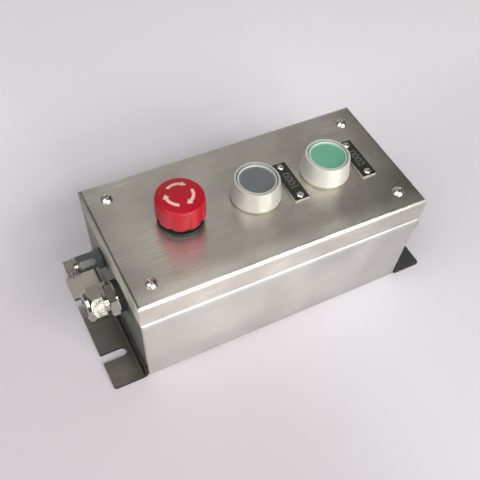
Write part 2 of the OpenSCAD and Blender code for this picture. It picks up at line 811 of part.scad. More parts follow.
// The black collar: a foot on the lid, a neck inside the head and the threaded sleeve
module estop_collar() {
  color("#20282a") at_operator(estop_at) rotate_extrude() difference() {
    union() {
      polygon([
        [sleeve_bore, -sleeve_l], [sleeve_r, -sleeve_l], [sleeve_r, 0],
        [collar_r, 0], [collar_r, collar_h - 0.5], [collar_r - 0.5, collar_h],
        [collar_neck_r, collar_h], [collar_neck_r, collar_top - 0.6],
        [collar_neck_r - 0.6, collar_top], [sleeve_bore, collar_top]
      ]);
      translate([rod_r + 2 * fit, -sleeve_l]) square([sleeve_bore - rod_r, web_t]);
    }
    translate([sleeve_r, -1]) square([washer_w + fit, washer_t + 1]);
  }
}

module estop_stem() {
  color("#e8e4d8") at_operator(estop_at) {
    translate([0, 0, shoulder_z]) cylinder(r = spigot_r, h = head_ceiling + 0.7 - shoulder_z);
    translate([0, 0, shoulder_z]) cylinder(r = sleeve_bore - loose, h = shoulder_t);
    translate([0, 0, shoulder_z - 6]) cylinder(r = spigot_r + 0.6, h = 6);
    push_rod(shoulder_z - 5);
  }
}

module estop_spring() {
  color("#b9b9bb") at_operator(estop_at) coil(spring_r, 0.9, spring_z, shoulder_z, 6);
}

module estop_washer() { at_operator(estop_at) washer(); }
module estop_clamp_nut() { at_operator(estop_at) clamp_nut(); }
module estop_holder() { at_operator(estop_at) holder(); }
module estop_contact_block() { at_operator(estop_at) contact_block(closed_strip_z); }
module estop_moving_contact() { at_operator(estop_at) moving_contact(1); }

// Cable gland, counted outwards from the wall

gland_collar_z = gland_washer_t;
gland_hex_z = gland_collar_z + gland_collar_t;
gland_neck_z = gland_hex_z + gland_hex_l;
gland_nut_z = gland_neck_z + gland_neck_l;
gland_end_z = gland_nut_z + gland_nut_l;
gland_corner_r = gland_af / 2 / cos(30);
gland_bore = cable_r + 1.8;
gland_hex_turn = 12;
gland_nut_turn = 38;
spout_r = gland_af / 2 - 2.2;
spout_end_z = gland_end_z - 4.2;

module gland_washer() {
  color("#1f1f1f") at_gland() tube(gland_af / 2 + 0.6, gland_thread_r + fit, 0, gland_washer_t);
}

// A hexagonal prism whose corners are turned down at the ends that are named
module turned_hex(z0, z1, low, high) {
  cut = gland_corner_r - gland_af / 2;
  intersection() {
    translate([0, 0, z0]) cylinder(r = gland_corner_r, h = z1 - z0, $fn = 6);
    rotate_extrude() polygon([
      [0, z0], [gland_corner_r - (low ? cut : 0), z0], [gland_corner_r, z0 + (low ? cut / 2 : 0)],
      [gland_corner_r, z1 - (high ? cut / 2 : 0)], [gland_corner_r - (high ? cut : 0), z1], [0, z1]
    ]);
  }
}

module gland_body() {
  color("#c9c6bf") at_gland() difference() {
    union() {
      translate([0, 0, -gland_thread_l]) cylinder(r = gland_thread_r, h = gland_thread_l + gland_neck_z);
      translate([0, 0, gland_collar_z]) cylinder(r = gland_af / 2 + 0.9, h = gland_collar_t);
      rotate(gland_hex_turn) turned_hex(gland_hex_z - 0.1, gland_neck_z, false, true);
      translate([0, 0, gland_hex_z]) cylinder(r = spout_r, h = spout_end_z - gland_hex_z);
    }
    translate([0, 0, -gland_thread_l - 1]) cylinder(r = gland_bore, h = spout_end_z + gland_thread_l + 2);
  }
}

module gland_seal() {
  color("#2c2c2c") at_gland() tube(gland_bore - fit, cable_r, gland_nut_z, spout_end_z + 0.4);
}

// The compression nut: hexagonal at the wall end and domed towards the cable
module gland_nut() {
  dome = gland_nut_l * 0.42;
  color("#d2cfc8") at_gland() difference() {
    intersection() {
      rotate(gland_nut_turn) turned_hex(gland_nut_z, gland_end_z, true, false);
      rotate_extrude() {
        translate([0, gland_nut_z]) square([gland_corner_r, gland_nut_l - dome]);
        polygon([[0, gland_end_z - dome], [gland_corner_r, gland_end_z - dome],
                 [gland_af / 2, gland_end_z - dome * 0.55], [gland_af / 2 - 0.6, gland_end_z - 0.9],
                 [gland_af / 2 - 2, gland_end_z], [0, gland_end_z]]);
      }
    }
    translate([0, 0, gland_nut_z - 1]) cylinder(r = spout_r + fit, h = spout_end_z + 0.6 - gland_nut_z + 1);
    translate([0, 0, gland_nut_z]) cylinder(r = gland_bore, h = gland_nut_l + 1);
  }
}

module gland_locknut() {
  color("#c9c6bf") at_gland() difference() {
    translate([0, 0, -sheet - gland_lock_t]) rotate(30)
      cylinder(d = gland_lock_af / cos(30), h = gland_lock_t, $fn = 6);
    translate([0, 0, -sheet - gland_lock_t - 1]) cylinder(r = gland_thread_r + fit, h = gland_lock_t + 2);
  }
}

// Control plug, counted outwards from the wall

plug_nut_z = plug_seal_t;
barrel_z = plug_nut_z + plug_nut_t;
end_ring_z = barrel_z + barrel_l;
clamp_z = end_ring_z + end_ring_l;

module plug_seal() {
  color("#1b1b1b") at_plug() tube(plug_af / 2, socket_r + fit, 0, plug_seal_t);
}

module plug_panel_nut() {
  corner = plug_af / 2 / cos(30);
  color("#262829") at_plug() rotate(10) difference() {
    intersection() {
      translate([0, 0, plug_nut_z]) cylinder(r = corner, h = plug_nut_t, $fn = 6);
      rotate_extrude() polygon([[0, plug_nut_z], [corner, plug_nut_z], [corner, barrel_z - 1],
                                [corner - 1.6, barrel_z], [0, barrel_z]]);
    }
    translate([0, 0, plug_nut_z - 1]) cylinder(r = socket_r + fit, h = plug_nut_t + 2);
  }
}

module plug_socket() {
  color("#3a3c3d") at_plug() tube(socket_r, cord_r, -socket_l, barrel_z - 0.2);
}

// The barrel of the plug: round, with six long grip flats
module plug_barrel() {
  color("#2d3031") at_plug() difference() {
    translate([0, 0, barrel_z]) cylinder(r = barrel_r, h = barrel_l);
    translate([0, 0, barrel_z - 1]) cylinder(r = cord_r + 1, h = barrel_l + 2);
    for (turn = [10 : 60 : 310]) rotate(turn) translate([barrel_r - 0.45, -barrel_r, barrel_z + 1.2])
      cube([2, 2 * barrel_r, barrel_l - 2.6]);
  }
}

module plug_end_ring() {
  color("#bdb9b2") at_plug() difference() {
    tube(end_ring_r, cord_r + 1, end_ring_z, clamp_z);
    tube(end_ring_r + 1, end_ring_r - 0.7, end_ring_z + end_ring_l * 0.38, end_ring_z + end_ring_l * 0.62);
    at_ring_screw() translate([0, 0, -end_ring_r]) cylinder(r = clamp_screw_r + fit, h = end_ring_r);
  }
}

// Both screws of the cord clamp have their heads to the front
clamp_screw_x = -cord_r - 0.4 - clamp_screw_r - 0.3;

module at_ring_screw() {
  translate([0, -end_ring_r, (end_ring_z + clamp_z) / 2]) rotate([90, 0, 0]) children();
}

module at_clamp_screw() {
  translate([clamp_screw_x, -clamp_front, clamp_z + clamp_l / 2]) rotate([90, 0, 0]) children();
}

// A block that is split below the cord and drawn together across the split
module plug_clamp() {
  color("#bdb9b2") at_plug() difference() {
    translate([clamp_screw_x - clamp_screw_r - 0.9, -clamp_front, clamp_z])
      cube([clamp_w, 2 * clamp_front, clamp_l]);
    translate([0, 0, clamp_z - 1]) cylinder(r = cord_r + 0.4, h = clamp_l + 2);
    translate([-clamp_w, -clamp_split / 2, clamp_z - 1]) cube([clamp_w, clamp_split, clamp_l + 2]);
    at_clamp_screw() translate([0, 0, -2 * clamp_front - 1])
      cylinder(r = clamp_screw_r + fit, h = 2 * clamp_front + 2);
  }
}

module plug_clamp_screws() {
  color("#8f8c86") at_plug() {
    at_clamp_screw() {
      cylinder(r = clamp_head_r, h = 1.2);
      translate([0, 0, -2 * clamp_front + 0.6]) cylinder(r = clamp_screw_r, h = 2 * clamp_front);
    }
    at_ring_screw() {
      translate([0, 0, 0.1]) cylinder(r = clamp_head_r, h = 1.2);
      translate([0, 0, -2.4]) cylinder(r = clamp_screw_r, h = 3);
    }
  }
}

module plug_locknut() {
  color("#8f8c86") at_plug() difference() {
    translate([0, 0, -sheet - plug_lock_t]) rotate(30)
      cylinder(d = plug_af / cos(30), h = plug_lock_t, $fn = 6);
    translate([0, 0, -sheet - plug_lock_t - 1]) cylinder(r = socket_r + fit, h = plug_lock_t + 2);
  }
}

enclosure_body();
lid();
lid_seal();
rivet_nuts();
lid_screws();
left_foot();
right_foot();
drip_lip();
grey_label();
green_label();
label_screws();
earth_stud();
earth_nuts();
grey_bezel();
grey_light_ring();
grey_cap();
grey_stem();
grey_spring();
grey_washer();
grey_clamp_nut();
grey_holder();
grey_contact_block();
grey_moving_contact();
green_bezel();
green_light_ring();
green_cap();
green_stem();
green_spring();
green_washer();
green_clamp_nut();
green_holder();
green_contact_block();
green_moving_contact();
estop_head();
estop_collar();
estop_stem();
estop_spring();
estop_washer();
estop_clamp_nut();
estop_holder();
estop_contact_block();
estop_moving_contact();
fixed_contacts();
terminal_screws();
gland_washer();
gland_body();
gland_seal();
gland_nut();
gland_locknut();
plug_seal();
plug_panel_nut();
plug_socket();
plug_barrel();
plug_end_ring();
plug_clamp();
plug_clamp_screws();
plug_locknut();
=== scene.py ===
# %% [markdown]
# # A stainless control station
#
# This is a small sheet metal enclosure with an emergency stop and two push
# buttons in its lid, and a cable gland and a plug on its left-hand end. The
# solids come from the CAD model. This lesson gives them their finishes, adds
# what is printed or engraved on them, and sets up a plain studio.
#
# x runs along the box, y towards its back and z up. Blender works in metres, so
# a size in millimetres is written as a number times MM.

# %% Load the solids
import math

import bpy
from mathutils import Matrix, Vector


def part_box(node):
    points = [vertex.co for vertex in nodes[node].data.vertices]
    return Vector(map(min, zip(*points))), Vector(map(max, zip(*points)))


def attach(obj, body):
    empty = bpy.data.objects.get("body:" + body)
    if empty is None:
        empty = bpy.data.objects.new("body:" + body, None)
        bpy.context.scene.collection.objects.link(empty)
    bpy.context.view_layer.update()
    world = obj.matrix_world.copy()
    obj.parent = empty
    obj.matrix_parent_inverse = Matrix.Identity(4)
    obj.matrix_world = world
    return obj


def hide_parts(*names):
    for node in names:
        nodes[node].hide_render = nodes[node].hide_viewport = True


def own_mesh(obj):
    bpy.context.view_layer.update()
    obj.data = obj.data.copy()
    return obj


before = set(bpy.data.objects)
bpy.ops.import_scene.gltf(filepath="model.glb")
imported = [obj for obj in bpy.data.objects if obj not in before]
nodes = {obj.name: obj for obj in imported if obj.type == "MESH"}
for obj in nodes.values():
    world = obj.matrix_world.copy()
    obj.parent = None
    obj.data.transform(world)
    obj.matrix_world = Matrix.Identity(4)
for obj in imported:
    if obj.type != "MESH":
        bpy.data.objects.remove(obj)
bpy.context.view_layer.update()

MM = 0.001

# %% [markdown]
# ## Helpers
#
# Colours are picked as sRGB hex values, as a paint program shows them, but
# Blender's sockets want linear light. One function turns one into the other.
#
# Nodes can be joined by hand in Blender's editor. In a script, one small
# function that adds a node with its settings and links does the same, and keeps
# each finish short enough to read as a recipe. The Mix node has sockets of the
# same name for numbers, vectors and colours, so they are told apart by number.
# The numbers get names here.

# %% Colour and node helpers
FACTOR, NUMBER_A, NUMBER_B = 0, 2, 3
VECTOR_A, VECTOR_B, VECTOR = 4, 5, 1
COLOUR_A, COLOUR_B, COLOUR = 6, 7, 2


def linear(hex_code, kept=1.0):
    """An sRGB hex colour as linear light, of which a share is kept, with an alpha of 1."""
    parts = [int(hex_code.lstrip("#")[i:i + 2], 16) / 255 for i in (0, 2, 4)]
    light = [c / 12.92 if c <= 0.04045 else ((c + 0.055) / 1.055) ** 2.4 for c in parts]
    return [c * kept for c in light] + [1.0]


def join(tree, node, inputs):
    """Fills a node's inputs: with a value, an output, or a node, for its first output."""
    for socket, value in inputs.items():
        if isinstance(value, bpy.types.Node):
            value = value.outputs[0]
        if isinstance(value, bpy.types.NodeSocket):
            tree.links.new(value, node.inputs[socket])
        else:
            node.inputs[socket].default_value = value


def add(tree, kind, inputs=None, **settings):
    """Adds a node with its settings and its inputs, by socket name or number."""
    made = tree.nodes.new(kind)
    for name, value in settings.items():
        setattr(made, name, value)
    join(tree, made, inputs or {})
    return made


def new_finish(name):
    """A new material, with its node tree and its main shader."""
    finish = bpy.data.materials.new(name)
    finish.use_nodes = True
    return finish, finish.node_tree, finish.node_tree.nodes["Principled BSDF"]


print("mid grey #808080 is", round(linear("#808080")[0], 3), "in linear light")

# %% [markdown]
# ## The camera
#
# The photograph was taken from high in front of the left-hand end, with a
# slightly turned camera, and it is cropped: its straight-down lines meet below
# the middle of the picture. A larger picture could be rendered and cut, but a
# shifted lens gives the same perspective at once. The numbers come from fitting
# the enclosure's corners, screws and buttons.

# %% Camera
PICTURE = 480  # pixels, the picture's width and height
FOCAL = 588.7  # pixels, the focal length
LENS_ROW = 340  # pixels, the row that the lens looks at squarely
azimuth, elevation, roll = (math.radians(angle) for angle in (-33.2, 60.17, 6.85))
eye = Vector((-147.74, -227.57, 366.71)) * MM

back = Vector((
    math.sin(azimuth) * math.cos(elevation),
    -math.cos(azimuth) * math.cos(elevation),
    math.sin(elevation)))
right = Vector((math.cos(azimuth), math.sin(azimuth), 0))
up = back.cross(right)
turned_right = math.cos(roll) * right + math.sin(roll) * up
turned_up = math.cos(roll) * up - math.sin(roll) * right
axes = Matrix((turned_right, turned_up, back)).transposed().to_4x4()

lens = bpy.data.cameras.new("camera")
lens.sensor_width = 36
lens.lens = FOCAL / PICTURE * lens.sensor_width
lens.shift_y = (LENS_ROW - PICTURE / 2) / PICTURE
camera = bpy.data.objects.new("camera", lens)
camera.matrix_world = Matrix.Translation(eye) @ axes
scene = bpy.context.scene
scene.collection.objects.link(camera)
scene.camera = camera
print("lens", round(lens.lens, 1), "mm, shift", round(lens.shift_y, 3))

# %% [markdown]
# ## The room
#
# Bare metal shows the room more than itself, so the room matters most here. A
# photographed panorama would do, but a colour that is computed from the
# direction needs no picture, and each part of it can be tuned by itself.
#
# The lid mirrors what is above and behind it. A ceiling that is darker than the
# walls gives the lid its middle grey, and a dark left side keeps the end wall
# dark. Two dark places lie on the right. The high one makes the lid fall off
# towards its right end, and the low one draws the dark line along the lid's
# right-hand bend.

# %% Room colours
scene.view_settings.view_transform = "Standard"
room = bpy.data.worlds.new("studio room")
scene.world = room
room.use_nodes = True
room.node_tree.nodes.clear()

# A direction has a length of 1, so its z is 0 at eye level and 1 straight up.
WALL_HEIGHT, CEILING_HEIGHT = 0.1, 0.95
# Its x is below 0 to the left.
LEFT_STARTS, LEFT_FULL = 0.1, -0.6


def room_colour(tree, direction, ceiling, horizon, left_side, dark, dark_places):
    """The room's colour by direction.

    A dark place is a direction and two cosines, at which it starts and is full.
    """
    parts = add(tree, "ShaderNodeSeparateXYZ", {0: direction}).outputs
    height = add(tree, "ShaderNodeMapRange", {
        "Value": parts["Z"], "From Min": WALL_HEIGHT, "From Max": CEILING_HEIGHT})
    walls = add(tree, "ShaderNodeMix", {
        FACTOR: height, COLOUR_A: linear(horizon), COLOUR_B: linear(ceiling)}, data_type="RGBA")
    leftward = add(tree, "ShaderNodeMapRange", {
        "Value": parts["X"], "From Min": LEFT_STARTS, "From Max": LEFT_FULL})
    colour = add(tree, "ShaderNodeMix", {
        FACTOR: leftward, COLOUR_A: walls.outputs[COLOUR], COLOUR_B: linear(left_side)},
        data_type="RGBA").outputs[COLOUR]
    for middle, starts, full in dark_places:
        towards = add(
            tree, "ShaderNodeVectorMath", {0: direction, 1: middle}, operation="DOT_PRODUCT")
        near = add(tree, "ShaderNodeMapRange", {
            "Value": towards.outputs["Value"], "From Min": starts, "From Max": full},
            interpolation_type="SMOOTHSTEP")
        colour = add(tree, "ShaderNodeMix", {
            FACTOR: near, COLOUR_A: colour, COLOUR_B: linear(dark)},
            data_type="RGBA").outputs[COLOUR]
    return colour


looking = add(room.node_tree, "ShaderNodeTexCoord").outputs["Generated"]
shelf, doorway = ((0.8, -0.35, 0.48), 0.46, 0.68), ((0.87, 0.45, 0.2), 0.88, 0.96)
all_round = room_colour(
    room.node_tree, looking, ceiling="#b3b0ac", horizon="#c4c2c0", left_side="#4a4846",
    dark="#34332f", dark_places=(shelf, doorway))
print("room made of", len(room.node_tree.nodes), "nodes")

# %% [markdown]
# ## The backdrop
#
# The camera shouldn't see that room but a plain pale backdrop. A real wall behind
# the table would block the light. Light Path is simpler, as it tells the world
# what kind of ray asks. Camera rays get the backdrop's colour. So do rays that
# metal mirrors or that glass lets through, where they run low above the table.

# %% Backdrop
FAR_STARTS, FAR_FULL = 0.35, 0.75  # y of a direction, from where the far wall is dimmed
BACKDROP_FULL, BACKDROP_ENDS = 0.06, 0.14  # z up to which mirrored rays see the backdrop


def show_backdrop(tree, direction, room_light, backdrop, far_side):
    """Lights the scene with room_light, and shows the backdrop. far_side dims the far wall."""
    parts = add(tree, "ShaderNodeSeparateXYZ", {0: direction}).outputs
    far_wall = add(tree, "ShaderNodeMapRange", {
        "Value": parts["Y"], "From Min": FAR_STARTS, "From Max": FAR_FULL,
        "To Min": 1.0, "To Max": far_side})
    light = add(tree, "ShaderNodeBackground", {"Color": room_light, "Strength": far_wall})
    seen = add(tree, "ShaderNodeBackground", {"Color": linear(backdrop), "Strength": 1.0})
    ray = add(tree, "ShaderNodeLightPath").outputs
    mirrored = add(
        tree, "ShaderNodeMath", {0: ray["Is Glossy Ray"], 1: ray["Is Transmission Ray"]},
        operation="MAXIMUM")
    low = add(tree, "ShaderNodeMapRange", {
        "Value": parts["Z"], "From Min": BACKDROP_ENDS, "From Max": BACKDROP_FULL})
    mirrored_low = add(tree, "ShaderNodeMath", {0: mirrored, 1: low}, operation="MULTIPLY")
    shown = add(
        tree, "ShaderNodeMath", {0: ray["Is Camera Ray"], 1: mirrored_low},
        operation="MAXIMUM")
    both = add(tree, "ShaderNodeMixShader", {0: shown, 1: light, 2: seen})
    add(tree, "ShaderNodeOutputWorld", {0: both})


show_backdrop(room.node_tree, looking, all_round, backdrop="#dfdde2", far_side=0.95)
print("backdrop behind the table")

# %% [markdown]
# ## The lamps
#
# A large window in front gives the broad main light, and a panel high on the left
# fills the shadows. Sun or point lamps would leave only dots on metal. Area lamps
# are mirrored as the squares they are. The window has three rows of panes with
# bars between, so the screws and the gland show a broken highlight, as they do
# beside a real window.

# %% Lamps
def soft_box(name, place, aim, size, power, colour, panes=1, bar=0):
    """A square soft box of panes with bars between. Lengths are in millimetres."""
    pane = (size - (panes - 1) * bar) / panes
    lamp = bpy.data.lights.new(name, "AREA")
    lamp.shape = "SQUARE"
    lamp.size = pane * MM
    lamp.energy = power / panes ** 2
    lamp.color = linear(colour)[:3]
    away = Vector(place) - Vector(aim)
    turned = away.to_track_quat("Z", "Y").to_matrix().to_4x4()
    facing = Matrix.Translation(Vector(place) * MM) @ turned
    for index in range(panes ** 2):
        row, column = divmod(index, panes)
        shift = [(n - (panes - 1) / 2) * (pane + bar) * MM for n in (column, row)]
        box = bpy.data.objects.new(name, lamp)
        box.matrix_world = facing @ Matrix.Translation((*shift, 0))
        scene.collection.objects.link(box)


lamp_aim = (0, 0, 40)
soft_box("window", (450, -2090, 1180), lamp_aim, size=1900, power=70, colour="#fffdfa",
         panes=3, bar=230)
soft_box("ceiling panel", (-1150, -350, 1500), lamp_aim, size=1300, power=15,
         colour="#fbfbff")

# %% [markdown]
# ## The table
#
# The station lies on pale lavender paper. It is the largest thing that the front
# wall mirrors. One flat square is enough, with three tones of painted light and
# shade that run into each other: greyer in front on the left, a painted shade where
# the sheet falls into shadow, middling on the right, and nearly white behind the
# box, a painted light.

# %% Table
REACH = 1.8  # metres from the middle to each edge
RIGHT_TONE_ENDS, LEFT_TONE_FULL = 80 * MM, -60 * MM
FRONT_TONE_ENDS, BACK_TONE_FULL = 20 * MM, 200 * MM
corners = [(x * REACH, y * REACH, 0) for x, y in ((-1, -1), (1, -1), (1, 1), (-1, 1))]
table_mesh = bpy.data.meshes.new("table")
table_mesh.from_pydata(corners, [], [(0, 1, 2, 3)])
table = bpy.data.objects.new("table", table_mesh)
scene.collection.objects.link(table)

# Uncoated paper: matt, so it shows soft shadows and no highlight.
paper, tree, shader = new_finish("pale paper")
spot = add(tree, "ShaderNodeSeparateXYZ", {
    0: add(tree, "ShaderNodeTexCoord").outputs["Object"]}).outputs
# Painted shade to the front left and painted light behind the box, on evenly pale paper.
leftward = add(tree, "ShaderNodeMapRange", {
    "Value": spot["X"], "From Min": RIGHT_TONE_ENDS, "From Max": LEFT_TONE_FULL},
    interpolation_type="SMOOTHSTEP")
near = add(tree, "ShaderNodeMix", {
    FACTOR: leftward, COLOUR_A: linear("#e7e4ea"), COLOUR_B: linear("#d7d2d7")},
    data_type="RGBA")
backward = add(tree, "ShaderNodeMapRange", {
    "Value": spot["Y"], "From Min": FRONT_TONE_ENDS, "From Max": BACK_TONE_FULL},
    interpolation_type="SMOOTHSTEP")
tone = add(tree, "ShaderNodeMix", {
    FACTOR: backward, COLOUR_A: near.outputs[COLOUR], COLOUR_B: linear("#fbf8fd")},
    data_type="RGBA")
join(tree, shader, {"Base Color": tone.outputs[COLOUR], "Roughness": 0.7})
table_mesh.materials.append(paper)
print("table", 2 * REACH, "m square")

# %% [markdown]
# ## Ground stainless sheet: where a point lies
#
# The enclosure is folded from stainless sheet and ground along its length with an
# abrasive belt. Each grit leaves a scratch about a tenth of a millimetre wide and
# centimetres long. On the end walls the grain runs across the box.
#
# A scan of steel would stretch at the bends. Noise that is drawn out along the
# grain follows the solid itself and stays sharp anywhere. So the recipe starts by
# asking where a point lies, and which way its face looks.

# %% Grain direction
END_FACING = 0.75  # a face that looks more than this to the left or right is an end
UPRIGHT_FACING = 0.5  # and one that looks less than this up or down is upright


def look_at(tree):
    """A point's place and facing. The grain's X runs along the grinding marks everywhere."""
    place = add(tree, "ShaderNodeTexCoord").outputs["Object"]
    at = add(tree, "ShaderNodeSeparateXYZ", {0: place}).outputs
    normal = add(tree, "ShaderNodeNewGeometry").outputs["True Normal"]
    facing = add(tree, "ShaderNodeSeparateXYZ", {0: normal}).outputs
    sideways = add(tree, "ShaderNodeMath", {0: facing["X"]}, operation="ABSOLUTE")
    is_end = add(
        tree, "ShaderNodeMath", {0: sideways, 1: END_FACING}, operation="GREATER_THAN")
    slope = add(tree, "ShaderNodeMath", {0: facing["Z"]}, operation="ABSOLUTE")
    is_upright = add(
        tree, "ShaderNodeMath", {0: slope, 1: UPRIGHT_FACING}, operation="LESS_THAN")
    across = add(tree, "ShaderNodeCombineXYZ", {0: at["Y"], 1: at["X"], 2: at["Z"]})
    grain = add(
        tree, "ShaderNodeMix", {FACTOR: is_end, VECTOR_A: place, VECTOR_B: across},
        data_type="VECTOR").outputs[VECTOR]
    return {"place": place, "x": at["X"], "y": at["Y"], "z": at["Z"], "up": facing["Z"],
            "is_end": is_end, "is_upright": is_upright, "grain": grain}


def stretched_noise(tree, grain, length_mm, width_mm, detail=1.0):
    """Noise in streaks of about the given length and width."""
    length, width = length_mm * MM, width_mm * MM
    sized = add(tree, "ShaderNodeMapping", {
        "Vector": grain, "Scale": (1 / length, 1 / width, 1 / width)})
    return add(tree, "ShaderNodeTexNoise", {
        "Vector": sized, "Scale": 1.0, "Detail": detail, "Roughness": 0.6})


NOISE_LOW, NOISE_HIGH = 0.3, 0.7  # nearly all noise lies between these
print("noise is read from", NOISE_LOW, "to", NOISE_HIGH)

# %% [markdown]
# ## Ground stainless sheet: marks of use
#
# A box that has been carried about is not evenly clean. Hands leave clouds about
# as wide as a thumb, and where it has been put down or wiped there are patches of
# short scratches, some bright and some dark. They run with the grain, as a rag
# does. Bump can't show a bright scratch in soft light, so they change the tone.

# %% Handling marks
CLOUD = 34 * MM  # width of a thumb print with its smear
CLOUD_DEPTH = 0.24
SCRATCH_LENGTH, SCRATCH_WIDTH = 22, 0.55  # mm. Real ones are thinner than a pixel
SCRATCH_LIGHT, SCRATCH_DARK = 0.3, 0.16
# Where in the noise a mark starts and where it is full. Noise is 0.5 on average.
BRIGHT_STARTS, BRIGHT_FULL = 0.58, 0.68
DARK_STARTS, DARK_FULL = 0.42, 0.34
PATCH_STARTS, PATCH_FULL = 0.45, 0.58


def handling_marks(tree, point, marks, scratched_by):
    """A factor for the clouds, and a sum for the patches of scratches."""
    cloud = add(tree, "ShaderNodeTexNoise", {
        "Vector": point["place"], "Scale": 1 / CLOUD, "Detail": 2.0})
    clouds = add(tree, "ShaderNodeMapRange", {
        "Value": cloud, "From Min": NOISE_LOW, "From Max": NOISE_HIGH,
        "To Min": 1 - CLOUD_DEPTH * marks, "To Max": 1.0})
    worn = stretched_noise(tree, point["grain"], SCRATCH_LENGTH, SCRATCH_WIDTH)
    bright = add(tree, "ShaderNodeMapRange", {
        "Value": worn, "From Min": BRIGHT_STARTS, "From Max": BRIGHT_FULL,
        "To Min": 0.0, "To Max": SCRATCH_LIGHT * scratched_by})
    dark = add(tree, "ShaderNodeMapRange", {
        "Value": worn, "From Min": DARK_FULL, "From Max": DARK_STARTS,
        "To Min": -SCRATCH_DARK * scratched_by, "To Max": 0.0})
    lines = add(tree, "ShaderNodeMath", {0: bright, 1: dark}, operation="ADD")
    patch = add(tree, "ShaderNodeMapRange", {
        "Value": cloud, "From Min": PATCH_STARTS, "From Max": PATCH_FULL})
    scratches = add(tree, "ShaderNodeMath", {0: lines, 1: patch}, operation="MULTIPLY")
    return clouds, scratches


print("clouds", round(CLOUD / MM), "mm wide, scratches", SCRATCH_LENGTH, "mm long")

# %% [markdown]
# ## Ground stainless sheet: shade by place
#
# On the real box the tone also runs slowly from place to place, because each face
# mirrors its own piece of a cluttered room. Building that clutter would take days.
# A few factors that depend on the point's place give the same: the lid is darker
# along its ends and brighter just before it bends down at the front, the walls
# are darker near the table and lighter in the strip below the lid, and the sides
# fade from end to end.

# %% Shade by place
half_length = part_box("lid")[1].x
half_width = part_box("lid")[1].y
lip_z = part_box("lid")[0].z
RIM = 20 * MM  # how far in from its ends the lid starts to darken
BEND = 1.5 * MM  # how far in it is darkest
FOOT_REACH = 35 * MM  # how high the darker foot of a wall reaches
LIP_STRIP = 7 * MM  # the brighter strip below the lid


def shade_by_place(tree, point, rim_shade=1.0, low_shade=1.0, end_low=1.0,
                   glow=(0, 1, 1.0), fade=(1.0, 1.0), end_fade=(1.0, 1.0), under_lip=1.0):
    """One factor for the tone, the product of six.

    rim_shade is the top's factor at both ends, low_shade that of a side's foot and
    end_low that of an end wall's. glow is a first and a last y, in millimetres, between
    which the top rises to its factor. fade is the upright faces' factor at the left and
    at the right, end_fade the end walls' at the front and at the back, and under_lip
    that of the strip below the lid.
    """
    from_middle = add(tree, "ShaderNodeMath", {0: point["x"]}, operation="ABSOLUTE")
    at_rim = add(tree, "ShaderNodeMapRange", {
        "Value": from_middle, "From Min": half_length - RIM, "From Max": half_length - BEND,
        "To Min": 0.0, "To Max": 1 - rim_shade}, interpolation_type="SMOOTHSTEP")
    lost = add(
        tree, "ShaderNodeMath", {0: point["up"], 1: at_rim}, operation="MULTIPLY",
        use_clamp=True)
    rim = add(tree, "ShaderNodeMath", {0: 1.0, 1: lost}, operation="SUBTRACT")

    at_foot = add(tree, "ShaderNodeMix", {
        FACTOR: point["is_end"], NUMBER_A: low_shade, NUMBER_B: end_low})
    foot = add(tree, "ShaderNodeMapRange", {
        "Value": point["z"], "From Min": 0.0, "From Max": FOOT_REACH,
        "To Min": at_foot, "To Max": 1.0})

    rise = add(tree, "ShaderNodeMapRange", {
        "Value": point["y"], "From Min": glow[0] * MM, "From Max": glow[1] * MM,
        "To Min": 0.0, "To Max": glow[2] - 1}, interpolation_type="SMOOTHSTEP")
    on_top = add(tree, "ShaderNodeMath", {0: point["up"], 1: 0.0}, operation="MAXIMUM")
    glowing = add(
        tree, "ShaderNodeMath", {0: on_top, 1: rise, 2: 1.0}, operation="MULTIPLY_ADD")

    along = add(tree, "ShaderNodeMapRange", {
        "Value": point["x"], "From Min": -half_length, "From Max": half_length,
        "To Min": fade[0], "To Max": fade[1]})
    side = add(tree, "ShaderNodeMix", {
        FACTOR: point["is_upright"], NUMBER_A: 1.0, NUMBER_B: along})
    across = add(tree, "ShaderNodeMapRange", {
        "Value": point["y"], "From Min": -half_width, "From Max": half_width,
        "To Min": end_fade[0], "To Max": end_fade[1]})
    end = add(tree, "ShaderNodeMix", {
        FACTOR: point["is_end"], NUMBER_A: 1.0, NUMBER_B: across})

    strip = add(tree, "ShaderNodeMapRange", {
        "Value": point["z"], "From Min": lip_z - LIP_STRIP, "From Max": lip_z,
        "To Min": 1.0, "To Max": under_lip}, interpolation_type="SMOOTHSTEP")

    shade = rim
    for factor in (foot, glowing, side, end, strip):
        shade = add(tree, "ShaderNodeMath", {0: shade, 1: factor}, operation="MULTIPLY")
    return shade


print("lid", [round(2 * v / MM, 1) for v in (half_length, half_width)], "mm, its lower edge at",
      round(lip_z / MM, 1), "mm")

# %% [markdown]
# ## Ground stainless sheet: the recipe
#
# Now the parts come together. Two sizes of streak give the grain, in the tone and
# as a very shallow bump. Anisotropy smears reflections across the grain, which is
# what makes ground metal look ground. Smudges change the gloss, and shallow dents
# bend reflections a little, since no folded sheet is flat.

# %% Brushed steel recipe
# Length and width of the streaks in mm. Real ones are 0.1 mm wide, too fine to show.
COARSE_GRAIN, FINE_GRAIN = (60, 0.9), (12, 0.25)
GRAIN_HEIGHT, GRAIN_STRENGTH = 0.02 * MM, 0.25
DENT, DENT_DEPTH = 9 * MM, 0.1 * MM
SMUDGES_PER_METRE = 28.0  # so each is some 36 mm wide
CLEANER, DULLER = 0.06, 0.08  # how far smudges change the roughness
END_ROUGHER = 0.14  # the ends' short grain is coarser, so they are duller
SMEAR = (0.0, 0.3, 1.0)  # the direction that the grain smears reflections along


